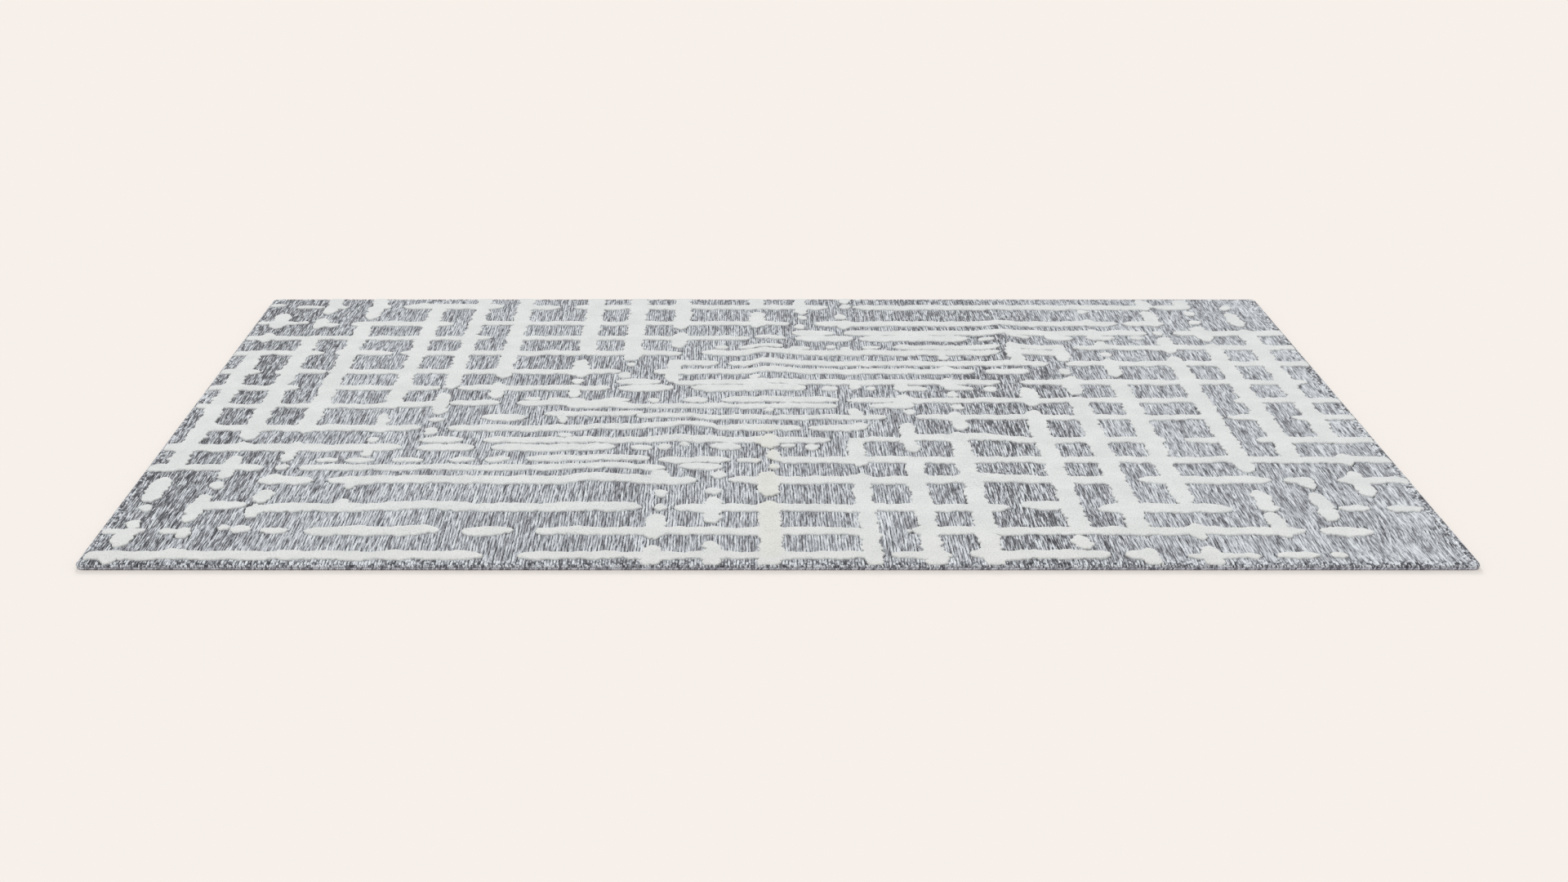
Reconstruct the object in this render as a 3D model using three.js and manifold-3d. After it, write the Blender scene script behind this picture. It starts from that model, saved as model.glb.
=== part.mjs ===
// Hand-tufted high-low area rug.
//
// Grey loop pile makes the low ground, and an ivory cut-pile grid of brush strokes stands
// proud of it. Both are tufted into a primary cloth. Under that lie the locking latex, a
// scrim, the bonding latex and the backing cloth, whose border steps up over four hem
// tapes. A cord runs along each edge inside the overcast (serging) yarn.
//
// Millimetres, +Z up. The origin is the middle of the underside, and +X is the long side.

import * as THREE from "three";
import { mergeVertices } from "three/addons/utils/BufferGeometryUtils.js";
import Module from "manifold-3d";

const wasm = await Module();
wasm.setup();

// ---------------------------------------------------------------- driving dimensions

const rugLength = 2300;
const rugWidth = 1600;

// Thickness of each layer, from the floor up.
const tapeThickness = 0.8;
const backingThickness = 0.8;
const bondThickness = 0.5;
const scrimThickness = 0.4;
const latexThickness = 0.6;
const primaryThickness = 0.8;
const pileBed = 0.8; // the stitched foot of the pile, which runs on under the motif
const groundPileHeight = 5.6; // from the primary cloth to the top of the grey loops
const motifRise = 2.5; // how far the ivory pile stands above the grey loops

// The edge.
const tapeWidth = 40;
const sergingWall = 1.4; // yarn outside the cord
const sergingReach = 9; // how far the yarn reaches in over the cloth
const sergingRise = 2; // yarn above the primary cloth
const sergingTopRadius = 3;
const sergingFootRadius = 1.2;
const sergingFacets = 4; // flats round each of its corners
const cordSides = 8;

// The motif.
const strokeGap = 0.3; // slit between the ivory pile and the grey loops round it
const strokeCorner = 0.32; // cut corner of a stroke's end, as a share of its width

// ---------------------------------------------------------------- levels and insets

const backingRim = tapeThickness + backingThickness;
const bondTop = backingRim + bondThickness;
const scrimTop = bondTop + scrimThickness;
const latexTop = scrimTop + latexThickness;
const primaryTop = latexTop + primaryThickness;
const groundTop = primaryTop + groundPileHeight;
const motifFoot = primaryTop + pileBed;
const motifTop = groundTop + motifRise;

const cordSize = primaryTop - tapeThickness; // the cord is as tall as the cloth edges it backs
const clothInset = sergingWall + cordSize; // from the rug's edge to the edge of its cloths
const tapeInner = sergingReach + tapeWidth;

// ---------------------------------------------------------------- the motif's strokes

// The layout is drawn for a rug of this size, from its front left corner, and stretches
// with the rug. Loose dabs under about 40 cm2 aren't modelled.
const drawnLength = 2300;
const drawnWidth = 1600;

// Strokes across the rug: centre in y, width, then each run's start and end in x.
const acrossStrokes = [
  [1532, 30, [245, 286]],
  [1537, 34, [312, 548]],
  [1531, 28, [597, 682], [708, 1300]],
  [1528, 31, [1353, 2025], [2045, 2135]],
  [1403, 13, [0, 122]],
  [1395, 29, [212, 450]],
  [1401, 24, [485, 600]],
  [1399, 22, [600, 1205]],
  [1394, 31, [1258, 1945], [1955, 2048]],
  [1320, 30, [1320, 2000], [2050, 2300]],
  [1284, 23, [0, 548], [597, 1115]],
  [1280, 35, [1210, 1345], [1352, 1597]],
  [1281, 23, [1766, 1832], [1856, 1922]],
  [1212, 26, [1420, 1658], [1674, 1797], [1815, 2300]],
  [1172, 25, [0, 199], [214, 346], [357, 967]],
  [1173, 29, [1005, 1652], [1683, 1796]],
  [1102, 29, [940, 1050]],
  [1096, 26, [1064, 1748], [1778, 2300]],
  [1040, 24, [0, 90], [114, 226], [236, 842]],
  [1041, 27, [906, 1586]],
  [968, 25, [952, 1632], [1668, 2265]],
  [931, 24, [0, 190], [229, 480], [511, 828]],
  [931, 33, [840, 960], [990, 1230]],
  [926, 22, [1403, 1476], [1505, 1571]],
  [852, 17, [808, 872]],
  [855, 28, [1050, 1290]],
  [850, 23, [1306, 2022], [2080, 2300]],
  [815, 19, [0, 398]],
  [826, 26, [392, 500]],
  [834, 24, [641, 868]],
  [815, 21, [742, 1290], [1346, 1440]],
  [763, 24, [702, 900]],
  [751, 22, [880, 1010]],
  [745, 21, [990, 1380], [1430, 2022], [2046, 2145], [2171, 2300]],
  [681, 27, [32, 474], [523, 800]],
  [691, 23, [786, 1050]],
  [683, 28, [1036, 1209]],
  [612, 25, [597, 1264]],
  [613, 18, [1297, 1402]],
  [624, 28, [1400, 1604]],
  [611, 25, [1590, 1904], [1936, 2022], [2071, 2300]],
  [569, 31, [0, 454], [619, 857]],
  [508, 24, [690, 924]],
  [501, 25, [1152, 2300]],
  [460, 30, [0, 72]],
  [460, 23, [60, 217], [276, 954]],
  [394, 34, [216, 320], [341, 1014]],
  [395, 30, [1069, 1785], [1808, 2050]],
  [393, 24, [2169, 2300]],
  [269, 30, [121, 226]],
  [258, 31, [236, 919]],
  [257, 26, [969, 1564]],
  [270, 36, [1581, 1668]],
  [255, 34, [1713, 1950]],
  [148, 15, [0, 78]],
  [148, 32, [346, 576]],
  [149, 26, [736, 1308], [1374, 2050]],
  [42, 29, [0, 662]],
  [42, 23, [717, 1310], [1335, 1440]],
  [45, 30, [1464, 1703]],
];

// Strokes along the rug's width: centre in x, width, then each run's start and end in y.
const alongStrokes = [
  [52, 32, [1356, 1478]],
  [48, 25, [1250, 1322]],
  [48, 31, [446, 1168], [284, 410], [76, 158]],
  [50, 19, [158, 200], [4, 34]],
  [147, 25, [548, 600]],
  [148, 31, [609, 1290]],
  [151, 22, [398, 525]],
  [140, 24, [190, 322]],
  [143, 22, [44, 68]],
  [254, 29, [1430, 1600]],
  [250, 32, [650, 1392]],
  [248, 20, [489, 602]],
  [244, 30, [372, 426]],
  [241, 23, [208, 272]],
  [397, 30, [800, 1540]],
  [391, 18, [655, 768], [519, 561]],
  [390, 17, [350, 392], [258, 300]],
  [498, 28, [925, 1600]],
  [493, 23, [757, 896]],
  [597, 31, [994, 1600]],
  [597, 25, [862, 966]],
  [760, 34, [1166, 1600]],
  [757, 29, [1000, 1124]],
  [754, 19, [866, 930]],
  [743, 13, [710, 768]],
  [860, 34, [1116, 1600]],
  [962, 33, [1352, 1600]],
  [960, 26, [1208, 1328]],
  [952, 25, [1040, 1124], [968, 1040]],
  [943, 28, [394, 446], [112, 232], [0, 86]],
  [1041, 25, [184, 310], [0, 106]],
  [1131, 29, [1531, 1600], [1362, 1492]],
  [1146, 34, [566, 648]],
  [1152, 22, [500, 558]],
  [1140, 33, [310, 440], [0, 290]],
  [1233, 22, [1472, 1600]],
  [1322, 20, [1170, 1216]],
  [1330, 27, [1354, 1420]],
  [1325, 19, [916, 968]],
  [1319, 25, [742, 799]],
  [1309, 27, [466, 620], [0, 433]],
  [1421, 32, [802, 886]],
  [1422, 24, [904, 968]],
  [1413, 25, [544, 712]],
  [1410, 29, [0, 520]],
  [1525, 20, [1041, 1077]],
  [1521, 30, [926, 996]],
  [1516, 26, [668, 780]],
  [1507, 31, [0, 655]],
  [1683, 27, [1090, 1238]],
  [1675, 32, [812, 932]],
  [1669, 32, [138, 790]],
  [1783, 25, [1108, 1236], [1268, 1322]],
  [1775, 29, [884, 1010]],
  [1770, 33, [128, 866]],
  [1879, 20, [1394, 1430]],
  [1876, 29, [1268, 1352]],
  [1882, 22, [1206, 1260]],
  [1876, 27, [1004, 1132]],
  [1872, 32, [266, 986]],
  [1866, 25, [108, 184]],
  [2027, 27, [1504, 1592]],
  [2025, 29, [1376, 1498]],
  [2023, 30, [1170, 1292]],
  [2018, 32, [432, 1148]],
  [2011, 27, [118, 235]],
  [2119, 32, [1512, 1592]],
  [2118, 32, [1258, 1376]],
  [2118, 33, [500, 1238]],
  [2217, 33, [592, 1350]],
  [2213, 23, [468, 536]],
  [2206, 29, [310, 440]],
];

// ---------------------------------------------------------------- finishes

function finish(color, roughness) {
  return new THREE.MeshStandardMaterial({ color, roughness, metalness: 0 });
}

const greyWool = finish(0x9a9da4, 0.95);
const ivoryWool = finish(0xe4e5e3, 0.92);
const overcastYarn = finish(0xa9abb0, 0.9);
const cottonCord = finish(0xd9d2c2, 0.9);
const primaryWeave = finish(0xcfc8b8, 0.88);
const latex = finish(0xd8cfae, 0.6);
const scrimMesh = finish(0xe6e2d6, 0.8);
const cottonCanvas = finish(0xd6cdb8, 0.9);
const twillTape = finish(0xc9c1ad, 0.85);

// ---------------------------------------------------------------- solids

const rug = new THREE.Group();
rug.name = "area_rug";

function add(name, geometry, material, parent = rug) {
  const mesh = new THREE.Mesh(geometry, material);
  mesh.name = name;
  parent.add(mesh);
  return mesh;
}

function toSolid(geometry) {
  const bare = geometry.clone();
  bare.deleteAttribute("normal");
  bare.deleteAttribute("uv");
  const merged = mergeVertices(bare);
  const vertProperties = new Float32Array(merged.attributes.position.array);
  const triVerts = new Uint32Array(merged.index.array);
  return new wasm.Manifold(new wasm.Mesh({ numProp: 3, vertProperties, triVerts }));
}

function toGeometry(solid) {
  const mesh = solid.getMesh();
  const geometry = new THREE.BufferGeometry();
  const positions = new Float32Array(mesh.vertProperties);
  geometry.setAttribute("position", new THREE.BufferAttribute(positions, 3));
  geometry.setIndex(new THREE.BufferAttribute(new Uint32Array(mesh.triVerts), 1));
  geometry.computeVertexNormals();
  return geometry;
}

// A rectangular slab centred on the rug, its sides drawn in by inset from the rug's edge.
function slabGeometry(inset, bottom, top) {
  const length = rugLength - 2 * inset;
  const width = rugWidth - 2 * inset;
  const geometry = new THREE.BoxGeometry(length, width, top - bottom);
  return geometry.translate(0, 0, (bottom + top) / 2);
}

function slabSolid(inset, bottom, top) {
  return toSolid(slabGeometry(inset, bottom, top));
}

// A stroke with cut corners over a drawn rectangle, grown all round by grow and standing
// from bottom to top.
function strokeSolid(startX, endX, startY, endY, grow, bottom, top) {
  const stretchX = rugLength / drawnLength;
  const stretchY = rugWidth / drawnWidth;
  const sizeX = (endX - startX) * stretchX;
  const sizeY = (endY - startY) * stretchY;
  const centreX = ((startX + endX - drawnLength) / 2) * stretchX;
  const centreY = ((startY + endY - drawnWidth) / 2) * stretchY;
  const cut = strokeCorner * Math.min(sizeX, sizeY);
  const halfX = sizeX / 2 + grow;
  const halfY = sizeY / 2 + grow;
  const outline = new THREE.Shape([
    new THREE.Vector2(-halfX + cut, -halfY),
    new THREE.Vector2(halfX - cut, -halfY),
    new THREE.Vector2(halfX, -halfY + cut),
    new THREE.Vector2(halfX, halfY - cut),
    new THREE.Vector2(halfX - cut, halfY),
    new THREE.Vector2(-halfX + cut, halfY),
    new THREE.Vector2(-halfX, halfY - cut),
    new THREE.Vector2(-halfX, -halfY + cut),
  ]);
  const options = { depth: top - bottom, bevelEnabled: false };
  const geometry = new THREE.ExtrudeGeometry(outline, options);
  return toSolid(geometry.translate(centreX, centreY, bottom));
}

// All the strokes joined and kept inside the pile's field.
function motifSolid(grow, bottom, top) {
  const strokes = [];
  for (const [y, width, ...runs] of acrossStrokes) {
    for (const [start, end] of runs) {
      const rows = [y - width / 2, y + width / 2];
      strokes.push(strokeSolid(start, end, ...rows, grow, bottom, top));
    }
  }
  for (const [x, width, ...runs] of alongStrokes) {
    for (const [start, end] of runs) {
      const columns = [x - width / 2, x + width / 2];
      strokes.push(strokeSolid(...columns, start, end, grow, bottom, top));
    }
  }
  const field = slabSolid(sergingReach + strokeGap - grow, bottom, top);
  return wasm.Manifold.union(strokes).intersect(field);
}

// ---------------------------------------------------------------- pile

function addPile() {
  const field = slabSolid(sergingReach, primaryTop, groundTop);
  const pockets = motifSolid(strokeGap, motifFoot, motifTop);
  add("ground_pile", toGeometry(field.subtract(pockets)), greyWool);

  const pieces = motifSolid(0, motifFoot, motifTop).decompose();
  pieces.sort((a, b) => b.volume() - a.volume());
  pieces.forEach((piece, index) => {
    const number = String(index - 1).padStart(2, "0");
    const name = ["motif_grid_right", "motif_grid_left"][index] ?? `motif_stroke_${number}`;
    add(name, toGeometry(piece), ivoryWool);
  });
}

// ---------------------------------------------------------------- cloths and latex

function addLayers() {
  add("primary_cloth", slabGeometry(clothInset, latexTop, primaryTop), primaryWeave);
  add("latex_coat", slabGeometry(clothInset, scrimTop, latexTop), latex);
  add("scrim", slabGeometry(clothInset, bondTop, scrimTop), scrimMesh);

  // The backing lies on the floor inside the tapes and steps up over them.
  const stepInner = tapeInner + backingThickness;
  const bond = slabSolid(clothInset, backingRim, bondTop);
  const bondField = slabSolid(stepInner, tapeThickness, bondTop);
  add("bonding_latex", toGeometry(bond.add(bondField)), latex);

  const rim = slabSolid(clothInset, tapeThickness, backingRim);
  const opening = slabSolid(stepInner, tapeThickness, backingRim);
  const field = slabSolid(tapeInner, 0, tapeThickness);
  add("backing_cloth", toGeometry(rim.subtract(opening).add(field)), cottonCanvas);
}

// ---------------------------------------------------------------- edges

// The yarn's section: u runs inward from the rug's edge and v runs up.
function sergingSection() {
  const top = primaryTop + sergingRise;
  const foot = sergingFootRadius;
  const shoulder = sergingTopRadius;
  const section = new THREE.Shape();
  section.moveTo(sergingReach, 0);
  section.lineTo(sergingReach, tapeThickness);
  section.lineTo(sergingWall, tapeThickness);
  section.lineTo(sergingWall, primaryTop);
  section.lineTo(sergingReach, primaryTop);
  section.lineTo(sergingReach, top);
  section.absarc(shoulder, top - shoulder, shoulder, Math.PI / 2, Math.PI, false);
  section.absarc(foot, foot, foot, Math.PI, 1.5 * Math.PI, false);
  section.closePath();
  return section;
}

// The cord is flat where it meets the yarn and the cloth edges.
function cordSection() {
  const radius = cordSize / 2 / Math.cos(Math.PI / cordSides);
  const section = new THREE.Shape();
  for (let corner = 0; corner < cordSides; corner += 1) {
    const angle = (corner + 0.5) * 2 * Math.PI / cordSides;
    const u = sergingWall + cordSize / 2 + radius * Math.cos(angle);
    const v = tapeThickness + cordSize / 2 + radius * Math.sin(angle);
    section[corner === 0 ? "moveTo" : "lineTo"](u, v);
  }
  section.closePath();
  return section;
}

// Extrudes a section of the front edge along x, centred, at the front edge.
function edgeGeometry(section, length, halfSpan) {
  const options = { depth: length, bevelEnabled: false, curveSegments: sergingFacets };
  const geometry = new THREE.ExtrudeGeometry(section, options);
  const uAxis = new THREE.Vector3(0, 1, 0);
  const vAxis = new THREE.Vector3(0, 0, 1);
  const runAxis = new THREE.Vector3(1, 0, 0);
  geometry.applyMatrix4(new THREE.Matrix4().makeBasis(uAxis, vAxis, runAxis));
  return geometry.translate(-length / 2, -halfSpan, 0);
}

// The front and back pieces run the full length, and the side pieces fit between them.
function addEdge(side, quarterTurns) {
  const isSide = quarterTurns % 2 === 1;
  const halfSpan = (isSide ? rugLength : rugWidth) / 2;
  const edge = new THREE.Group();
  edge.rotation.z = quarterTurns * Math.PI / 2;
  rug.add(edge);

  const yarnRun = isSide ? rugWidth - 2 * sergingReach : rugLength;
  const yarn = edgeGeometry(sergingSection(), yarnRun, halfSpan);
  add(`serging_${side}`, yarn, overcastYarn, edge);

  const cordRun = isSide ? rugWidth - 2 * clothInset : rugLength;
  add(`edge_cord_${side}`, edgeGeometry(cordSection(), cordRun, halfSpan), cottonCord, edge);

  const tapeRun = isSide ? rugWidth - 2 * tapeInner : rugLength - 2 * sergingReach;
  const tape = new THREE.BoxGeometry(tapeRun, tapeWidth, tapeThickness);
  tape.translate(0, sergingReach + tapeWidth / 2 - halfSpan, tapeThickness / 2);
  add(`hem_tape_${side}`, tape, twillTape, edge);
}

addPile();
addLayers();
addEdge("front", 0);
addEdge("right", 1);
addEdge("back", 2);
addEdge("left", 3);

export default rug;
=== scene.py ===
"""The looks of a hand-tufted high-low area rug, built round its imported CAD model.

Grey heathered loop rows make the low ground and a raised ivory cut pile makes the pattern.
Under them lie the tufting cloth, locking latex, scrim, bonding latex and canvas backing.
The hem is taped, and yarn is overcast round a cord along the edge. The rug still holds the
low waves of its packing folds, and every layer follows them.

Metres, +Z up. The origin is the middle of the underside, and +X is the long side.
"""

import math

import bpy
import numpy as np
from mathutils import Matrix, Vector


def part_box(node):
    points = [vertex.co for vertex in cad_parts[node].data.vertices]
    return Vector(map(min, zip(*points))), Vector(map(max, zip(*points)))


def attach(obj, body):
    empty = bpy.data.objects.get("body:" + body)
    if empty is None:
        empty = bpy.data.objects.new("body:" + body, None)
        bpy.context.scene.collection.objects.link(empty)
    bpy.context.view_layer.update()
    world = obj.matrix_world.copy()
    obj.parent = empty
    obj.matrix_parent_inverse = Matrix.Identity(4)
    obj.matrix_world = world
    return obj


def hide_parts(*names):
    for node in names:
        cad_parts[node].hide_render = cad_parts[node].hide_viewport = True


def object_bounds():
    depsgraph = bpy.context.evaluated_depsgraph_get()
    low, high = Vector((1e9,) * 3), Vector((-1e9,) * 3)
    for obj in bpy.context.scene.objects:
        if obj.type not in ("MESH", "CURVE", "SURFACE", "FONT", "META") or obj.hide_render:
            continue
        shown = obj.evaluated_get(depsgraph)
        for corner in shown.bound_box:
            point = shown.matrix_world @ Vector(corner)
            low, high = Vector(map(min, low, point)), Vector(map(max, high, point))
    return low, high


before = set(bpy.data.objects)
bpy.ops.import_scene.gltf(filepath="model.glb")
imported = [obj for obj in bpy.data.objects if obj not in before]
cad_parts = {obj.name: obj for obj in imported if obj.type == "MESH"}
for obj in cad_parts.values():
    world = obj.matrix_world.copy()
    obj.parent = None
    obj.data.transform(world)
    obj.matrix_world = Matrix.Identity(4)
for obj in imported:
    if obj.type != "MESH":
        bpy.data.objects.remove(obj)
cad_low, cad_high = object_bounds()

MM = 0.001

# ---------------------------------------------------------------- sizes from the frame

LENGTH = cad_high.x - cad_low.x
WIDTH = cad_high.y - cad_low.y
PRIMARY_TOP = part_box("primary_cloth")[1].z
GROUND_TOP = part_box("ground_pile")[1].z
IVORY_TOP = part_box("motif_grid_left")[1].z
LATEX_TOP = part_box("latex_coat")[1].z
SCRIM_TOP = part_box("scrim")[1].z
BOND_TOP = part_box("bonding_latex")[1].z
TAPE_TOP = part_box("hem_tape_front")[1].z
YARN_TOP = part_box("serging_front")[1].z
YARN_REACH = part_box("serging_front")[1].y - cad_low.y
TAPE_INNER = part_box("hem_tape_front")[1].y - cad_low.y
CLOTH_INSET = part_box("primary_cloth")[0].y - cad_low.y
CORD_LOW, CORD_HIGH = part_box("edge_cord_front")
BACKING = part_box("backing_cloth")[1].z - TAPE_TOP

# ---------------------------------------------------------------- sizes of the fine detail

CORNER_RADIUS = 12 * MM
PILE_INSET = 0.6 * MM  # the rows lean out over the overcast yarn to here
IVORY_INSET = 3.5 * MM  # the ivory pile stops this far inside the rug's outline
ROLL_REACH = 16 * MM  # the pile rolls over the rug's edge from here out
ROLL_DROP = 1.3 * MM
EDGE_FLECK_REACH = 26 * MM  # the loops are opened out, and flecked, from here out; their dark flecks are partly painted shade of deep gaps

ROW_PITCH = 5 * MM
LOOP_STEP = 4.5 * MM  # half a loop along its row
ROW_HALF_WIDTH = 2.65 * MM
ROW_HALF_HEIGHT = 2.3 * MM
ROW_RISE = 0.9 * MM  # how far the loops stand above their packed height
# A row's cross-section, two plies side by side, in half widths and half heights downward.
ROW_SECTION = [(-1.0, 0.8), (-0.55, -0.95), (0.0, -0.5), (0.55, -1.0), (1.0, 0.8)]
ROW_SHAKES = [(2, 0.30 * MM), (7, 0.45 * MM)]  # reach in loops, and size, of the rows' unevenness
ROW_PIECES = 7
END_GIRTH = 0.78  # how much thinner a row is where it ends
NUDGE = 1.5 * MM  # how far to each side of a row the slope of the ivory's edge is read
MOST_PUSH = 1.4 * MM  # how far an ivory edge pushes a row aside at most
ROW_BREAK = 0.6  # how far inside the rug's outline a row ends, in half widths
EDGE_FLECK = (-0.06, 0.62)  # mean and spread of the shade of the opened loops at the edge, whose darkest flecks are partly painted shade of the deep gaps there
NECK = 0.94  # girth between two loops
GIRTH_SPREAD = 0.05
BED_TOP = 6.5 * MM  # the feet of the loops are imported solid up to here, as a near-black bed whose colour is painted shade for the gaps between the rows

CELL = 5 * MM  # spacing of the plan grid that the ivory pile is cut on
RIM_RADIUS = 1.7 * MM  # rounding of the ivory pile's upper edge
RIM_RAGGED = 0.35 * MM  # spread of the rim's reach
RIM_UNEVEN = 0.12 * MM  # spread of its height
RIM_SINK = 0.15 * MM
TIP_UNEVEN = 0.16 * MM  # spread of the height of the cut tips
IVORY_FOOT = 0.6 * MM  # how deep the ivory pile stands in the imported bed
SPREAD = 2.5 * MM  # how far the cut pile blooms past its stroke on each side
FILLET = 7 * MM  # how far the ivory pile fills the corners where strokes meet
TAPER = 2.2  # length of a stroke's tapered end, in half widths
OVERRUN = 60  # millimetres that a stroke at the rug's edge is drawn on past it
FIELD_FAR = -40 * MM  # the stroke field's value well away from any stroke
FIELD_MARGIN = 14 * MM  # how far round a stroke the field is worked out

# The wavy edges of a stroke: size and wavelength of the drift that both edges share, and of
# each edge's own swell and ripple.
WAVY_ACROSS = [(2.0 * MM, 120 * MM), (2.4 * MM, 55 * MM), (0.9 * MM, 18 * MM)]
WAVY_ALONG = [(1.6 * MM, 130 * MM), (2.2 * MM, 42 * MM), (1.9 * MM, 14 * MM)]
# How much of a row end's raggedness each of the next cells along the row takes on.
RAGGED_WEIGHTS = (0.25, 0.4, 0.5, 0.4, 0.25)
RAGGED_LONG = 0.95 * MM  # size of the raggedness that carries over
RAGGED_SHORT = 0.5 * MM  # and of that in each cell by itself

WRAP_PITCH = 3 * MM
TUFT_PITCH = 2.5 * MM
STITCH_PITCH = 8 * MM
EDGE_SPACING = 20 * MM  # spacing of the points along the rug's outline
SEAM_INSET = 4 * MM  # from a tape's edge
SEAM_HEIGHT = 0.35 * MM
TAPE_FOOT = 0.15 * MM  # the tapes lie this far off the floor
TAPE_STEP = 60 * MM  # spacing of the points along a tape
COARSE = 45 * MM  # spacing of a flat layer's lines away from the waves
FINE_X = 13 * MM  # and over them
FINE_Y = 24 * MM

# The studio.
FLOOR_COLOR = (0.822, 0.770, 0.728)
FLOOR_HALF = 40.0
FLOOR_DROP = 0.3 * MM
SKY_STRENGTH = 0.60
# Each lamp's name, strength, angular size in degrees, and direction.
LAMPS = [
    ("front_lamp", 1.47, 25, (-0.15, -0.85, 1.0)),
    ("low_back_lamp", 1.25, 20, (-0.10, 1.0, 0.50)),
]
CAMERA_PLACE = (-0.0741, -3.9774, 1.3556)
CAMERA_DOWN = 19.591  # degrees below level
LENS_LENGTH = 48.392
LENS_SHIFT = 0.0327

FRONT_LEFT = np.array([-LENGTH / 2, -WIDTH / 2])

# The motif's strokes, in millimetres from the front left corner: a stroke's centre line and
# width, then the start and end of each run along it.
STROKES_ACROSS = [
    (1545, 14, (0, 40)), (1537, 34, (312, 548)), (1532, 30, (245, 286)),
    (1531, 28, (597, 682), (708, 1300), (1322, 1348)), (1530, 16, (62, 132), (148, 190)),
    (1528, 31, (1353, 2025), (2045, 2135)), (1403, 13, (0, 122)), (1401, 24, (485, 600)),
    (1399, 22, (600, 1205)), (1395, 29, (212, 450)), (1394, 31, (1258, 1945), (1955, 2048)),
    (1387, 22, (148, 190)), (1321, 38, (1206, 1301)), (1320, 30, (1320, 2000), (2050, 2300)),
    (1284, 23, (0, 548), (597, 1115), (1122, 1194)), (1281, 23, (1766, 1832), (1856, 1922)),
    (1280, 35, (1210, 1345), (1352, 1597)), (1270, 18, (1612, 1656)),
    (1213, 19, (1036, 1066), (1088, 1190)), (1213, 17, (1278, 1301), (1355, 1398)),
    (1212, 26, (1420, 1658), (1674, 1797), (1815, 2300)), (1206, 26, (1198, 1245)),
    (1173, 29, (1005, 1652), (1683, 1796)), (1172, 25, (0, 199), (214, 346), (357, 967)),
    (1102, 29, (940, 1050)), (1096, 26, (1064, 1748), (1778, 2300)),
    (1041, 27, (906, 1586), (1602, 1702)), (1040, 24, (0, 90), (114, 226), (236, 842)),
    (971, 30, (832, 930)), (968, 25, (952, 1632), (1668, 2265)),
    (931, 24, (0, 190), (229, 480), (511, 828)), (931, 33, (840, 960), (990, 1230)),
    (927, 16, (1349, 1367)), (926, 22, (1256, 1292), (1403, 1476), (1505, 1571)),
    (861, 17, (655, 690)), (857, 12, (704, 782)), (855, 28, (1050, 1290)), (852, 17, (808, 872)),
    (852, 25, (976, 1027)), (850, 23, (1306, 2022), (2080, 2300)),
    (834, 24, (506, 613), (641, 868)), (826, 26, (392, 500)), (815, 19, (0, 398)),
    (815, 21, (742, 1290), (1346, 1440)), (763, 24, (702, 900)), (751, 22, (880, 1010)),
    (745, 34, (581, 674)), (745, 21, (990, 1380), (1430, 2022), (2046, 2145), (2171, 2300)),
    (691, 23, (786, 1050)), (683, 28, (1036, 1209), (1223, 1336)),
    (681, 27, (32, 474), (523, 800)), (624, 28, (1400, 1604)), (613, 18, (1297, 1402)),
    (612, 25, (476, 565), (597, 1264)), (611, 25, (1590, 1904), (1936, 2022), (2071, 2300)),
    (582, 13, (974, 996)), (579, 13, (1164, 1196)), (575, 28, (1031, 1096)),
    (571, 22, (883, 926), (934, 960)), (569, 31, (0, 454), (619, 857), (479, 592)),
    (508, 24, (612, 661), (690, 924)), (501, 25, (936, 1072), (1152, 2300)),
    (500, 16, (300, 346), (353, 414), (441, 505), (546, 600), (1081, 1132)),
    (467, 26, (976, 1061)), (460, 30, (0, 72)), (460, 23, (60, 217), (276, 954)),
    (395, 30, (1069, 1785), (1808, 2050)), (394, 34, (216, 320), (341, 1014)),
    (393, 24, (2071, 2124), (2169, 2300)), (270, 36, (1581, 1668)), (269, 30, (121, 226)),
    (258, 31, (236, 919)), (257, 26, (969, 1564)), (255, 34, (1713, 1950)),
    (254, 20, (1992, 2030), (2132, 2191), (2213, 2286)), (160, 28, (225, 241)),
    (152, 20, (270, 322)), (149, 26, (736, 1308), (1374, 2050)), (148, 15, (0, 78), (98, 142)),
    (148, 32, (346, 576), (611, 702)), (145, 32, (2070, 2166)),
    (45, 30, (1464, 1703), (1721, 1778)), (42, 29, (0, 662)), (42, 23, (717, 1310), (1335, 1440)),
    (42, 20, (1975, 2046), (2064, 2091)), (40, 15, (1827, 1950)),
]

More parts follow.
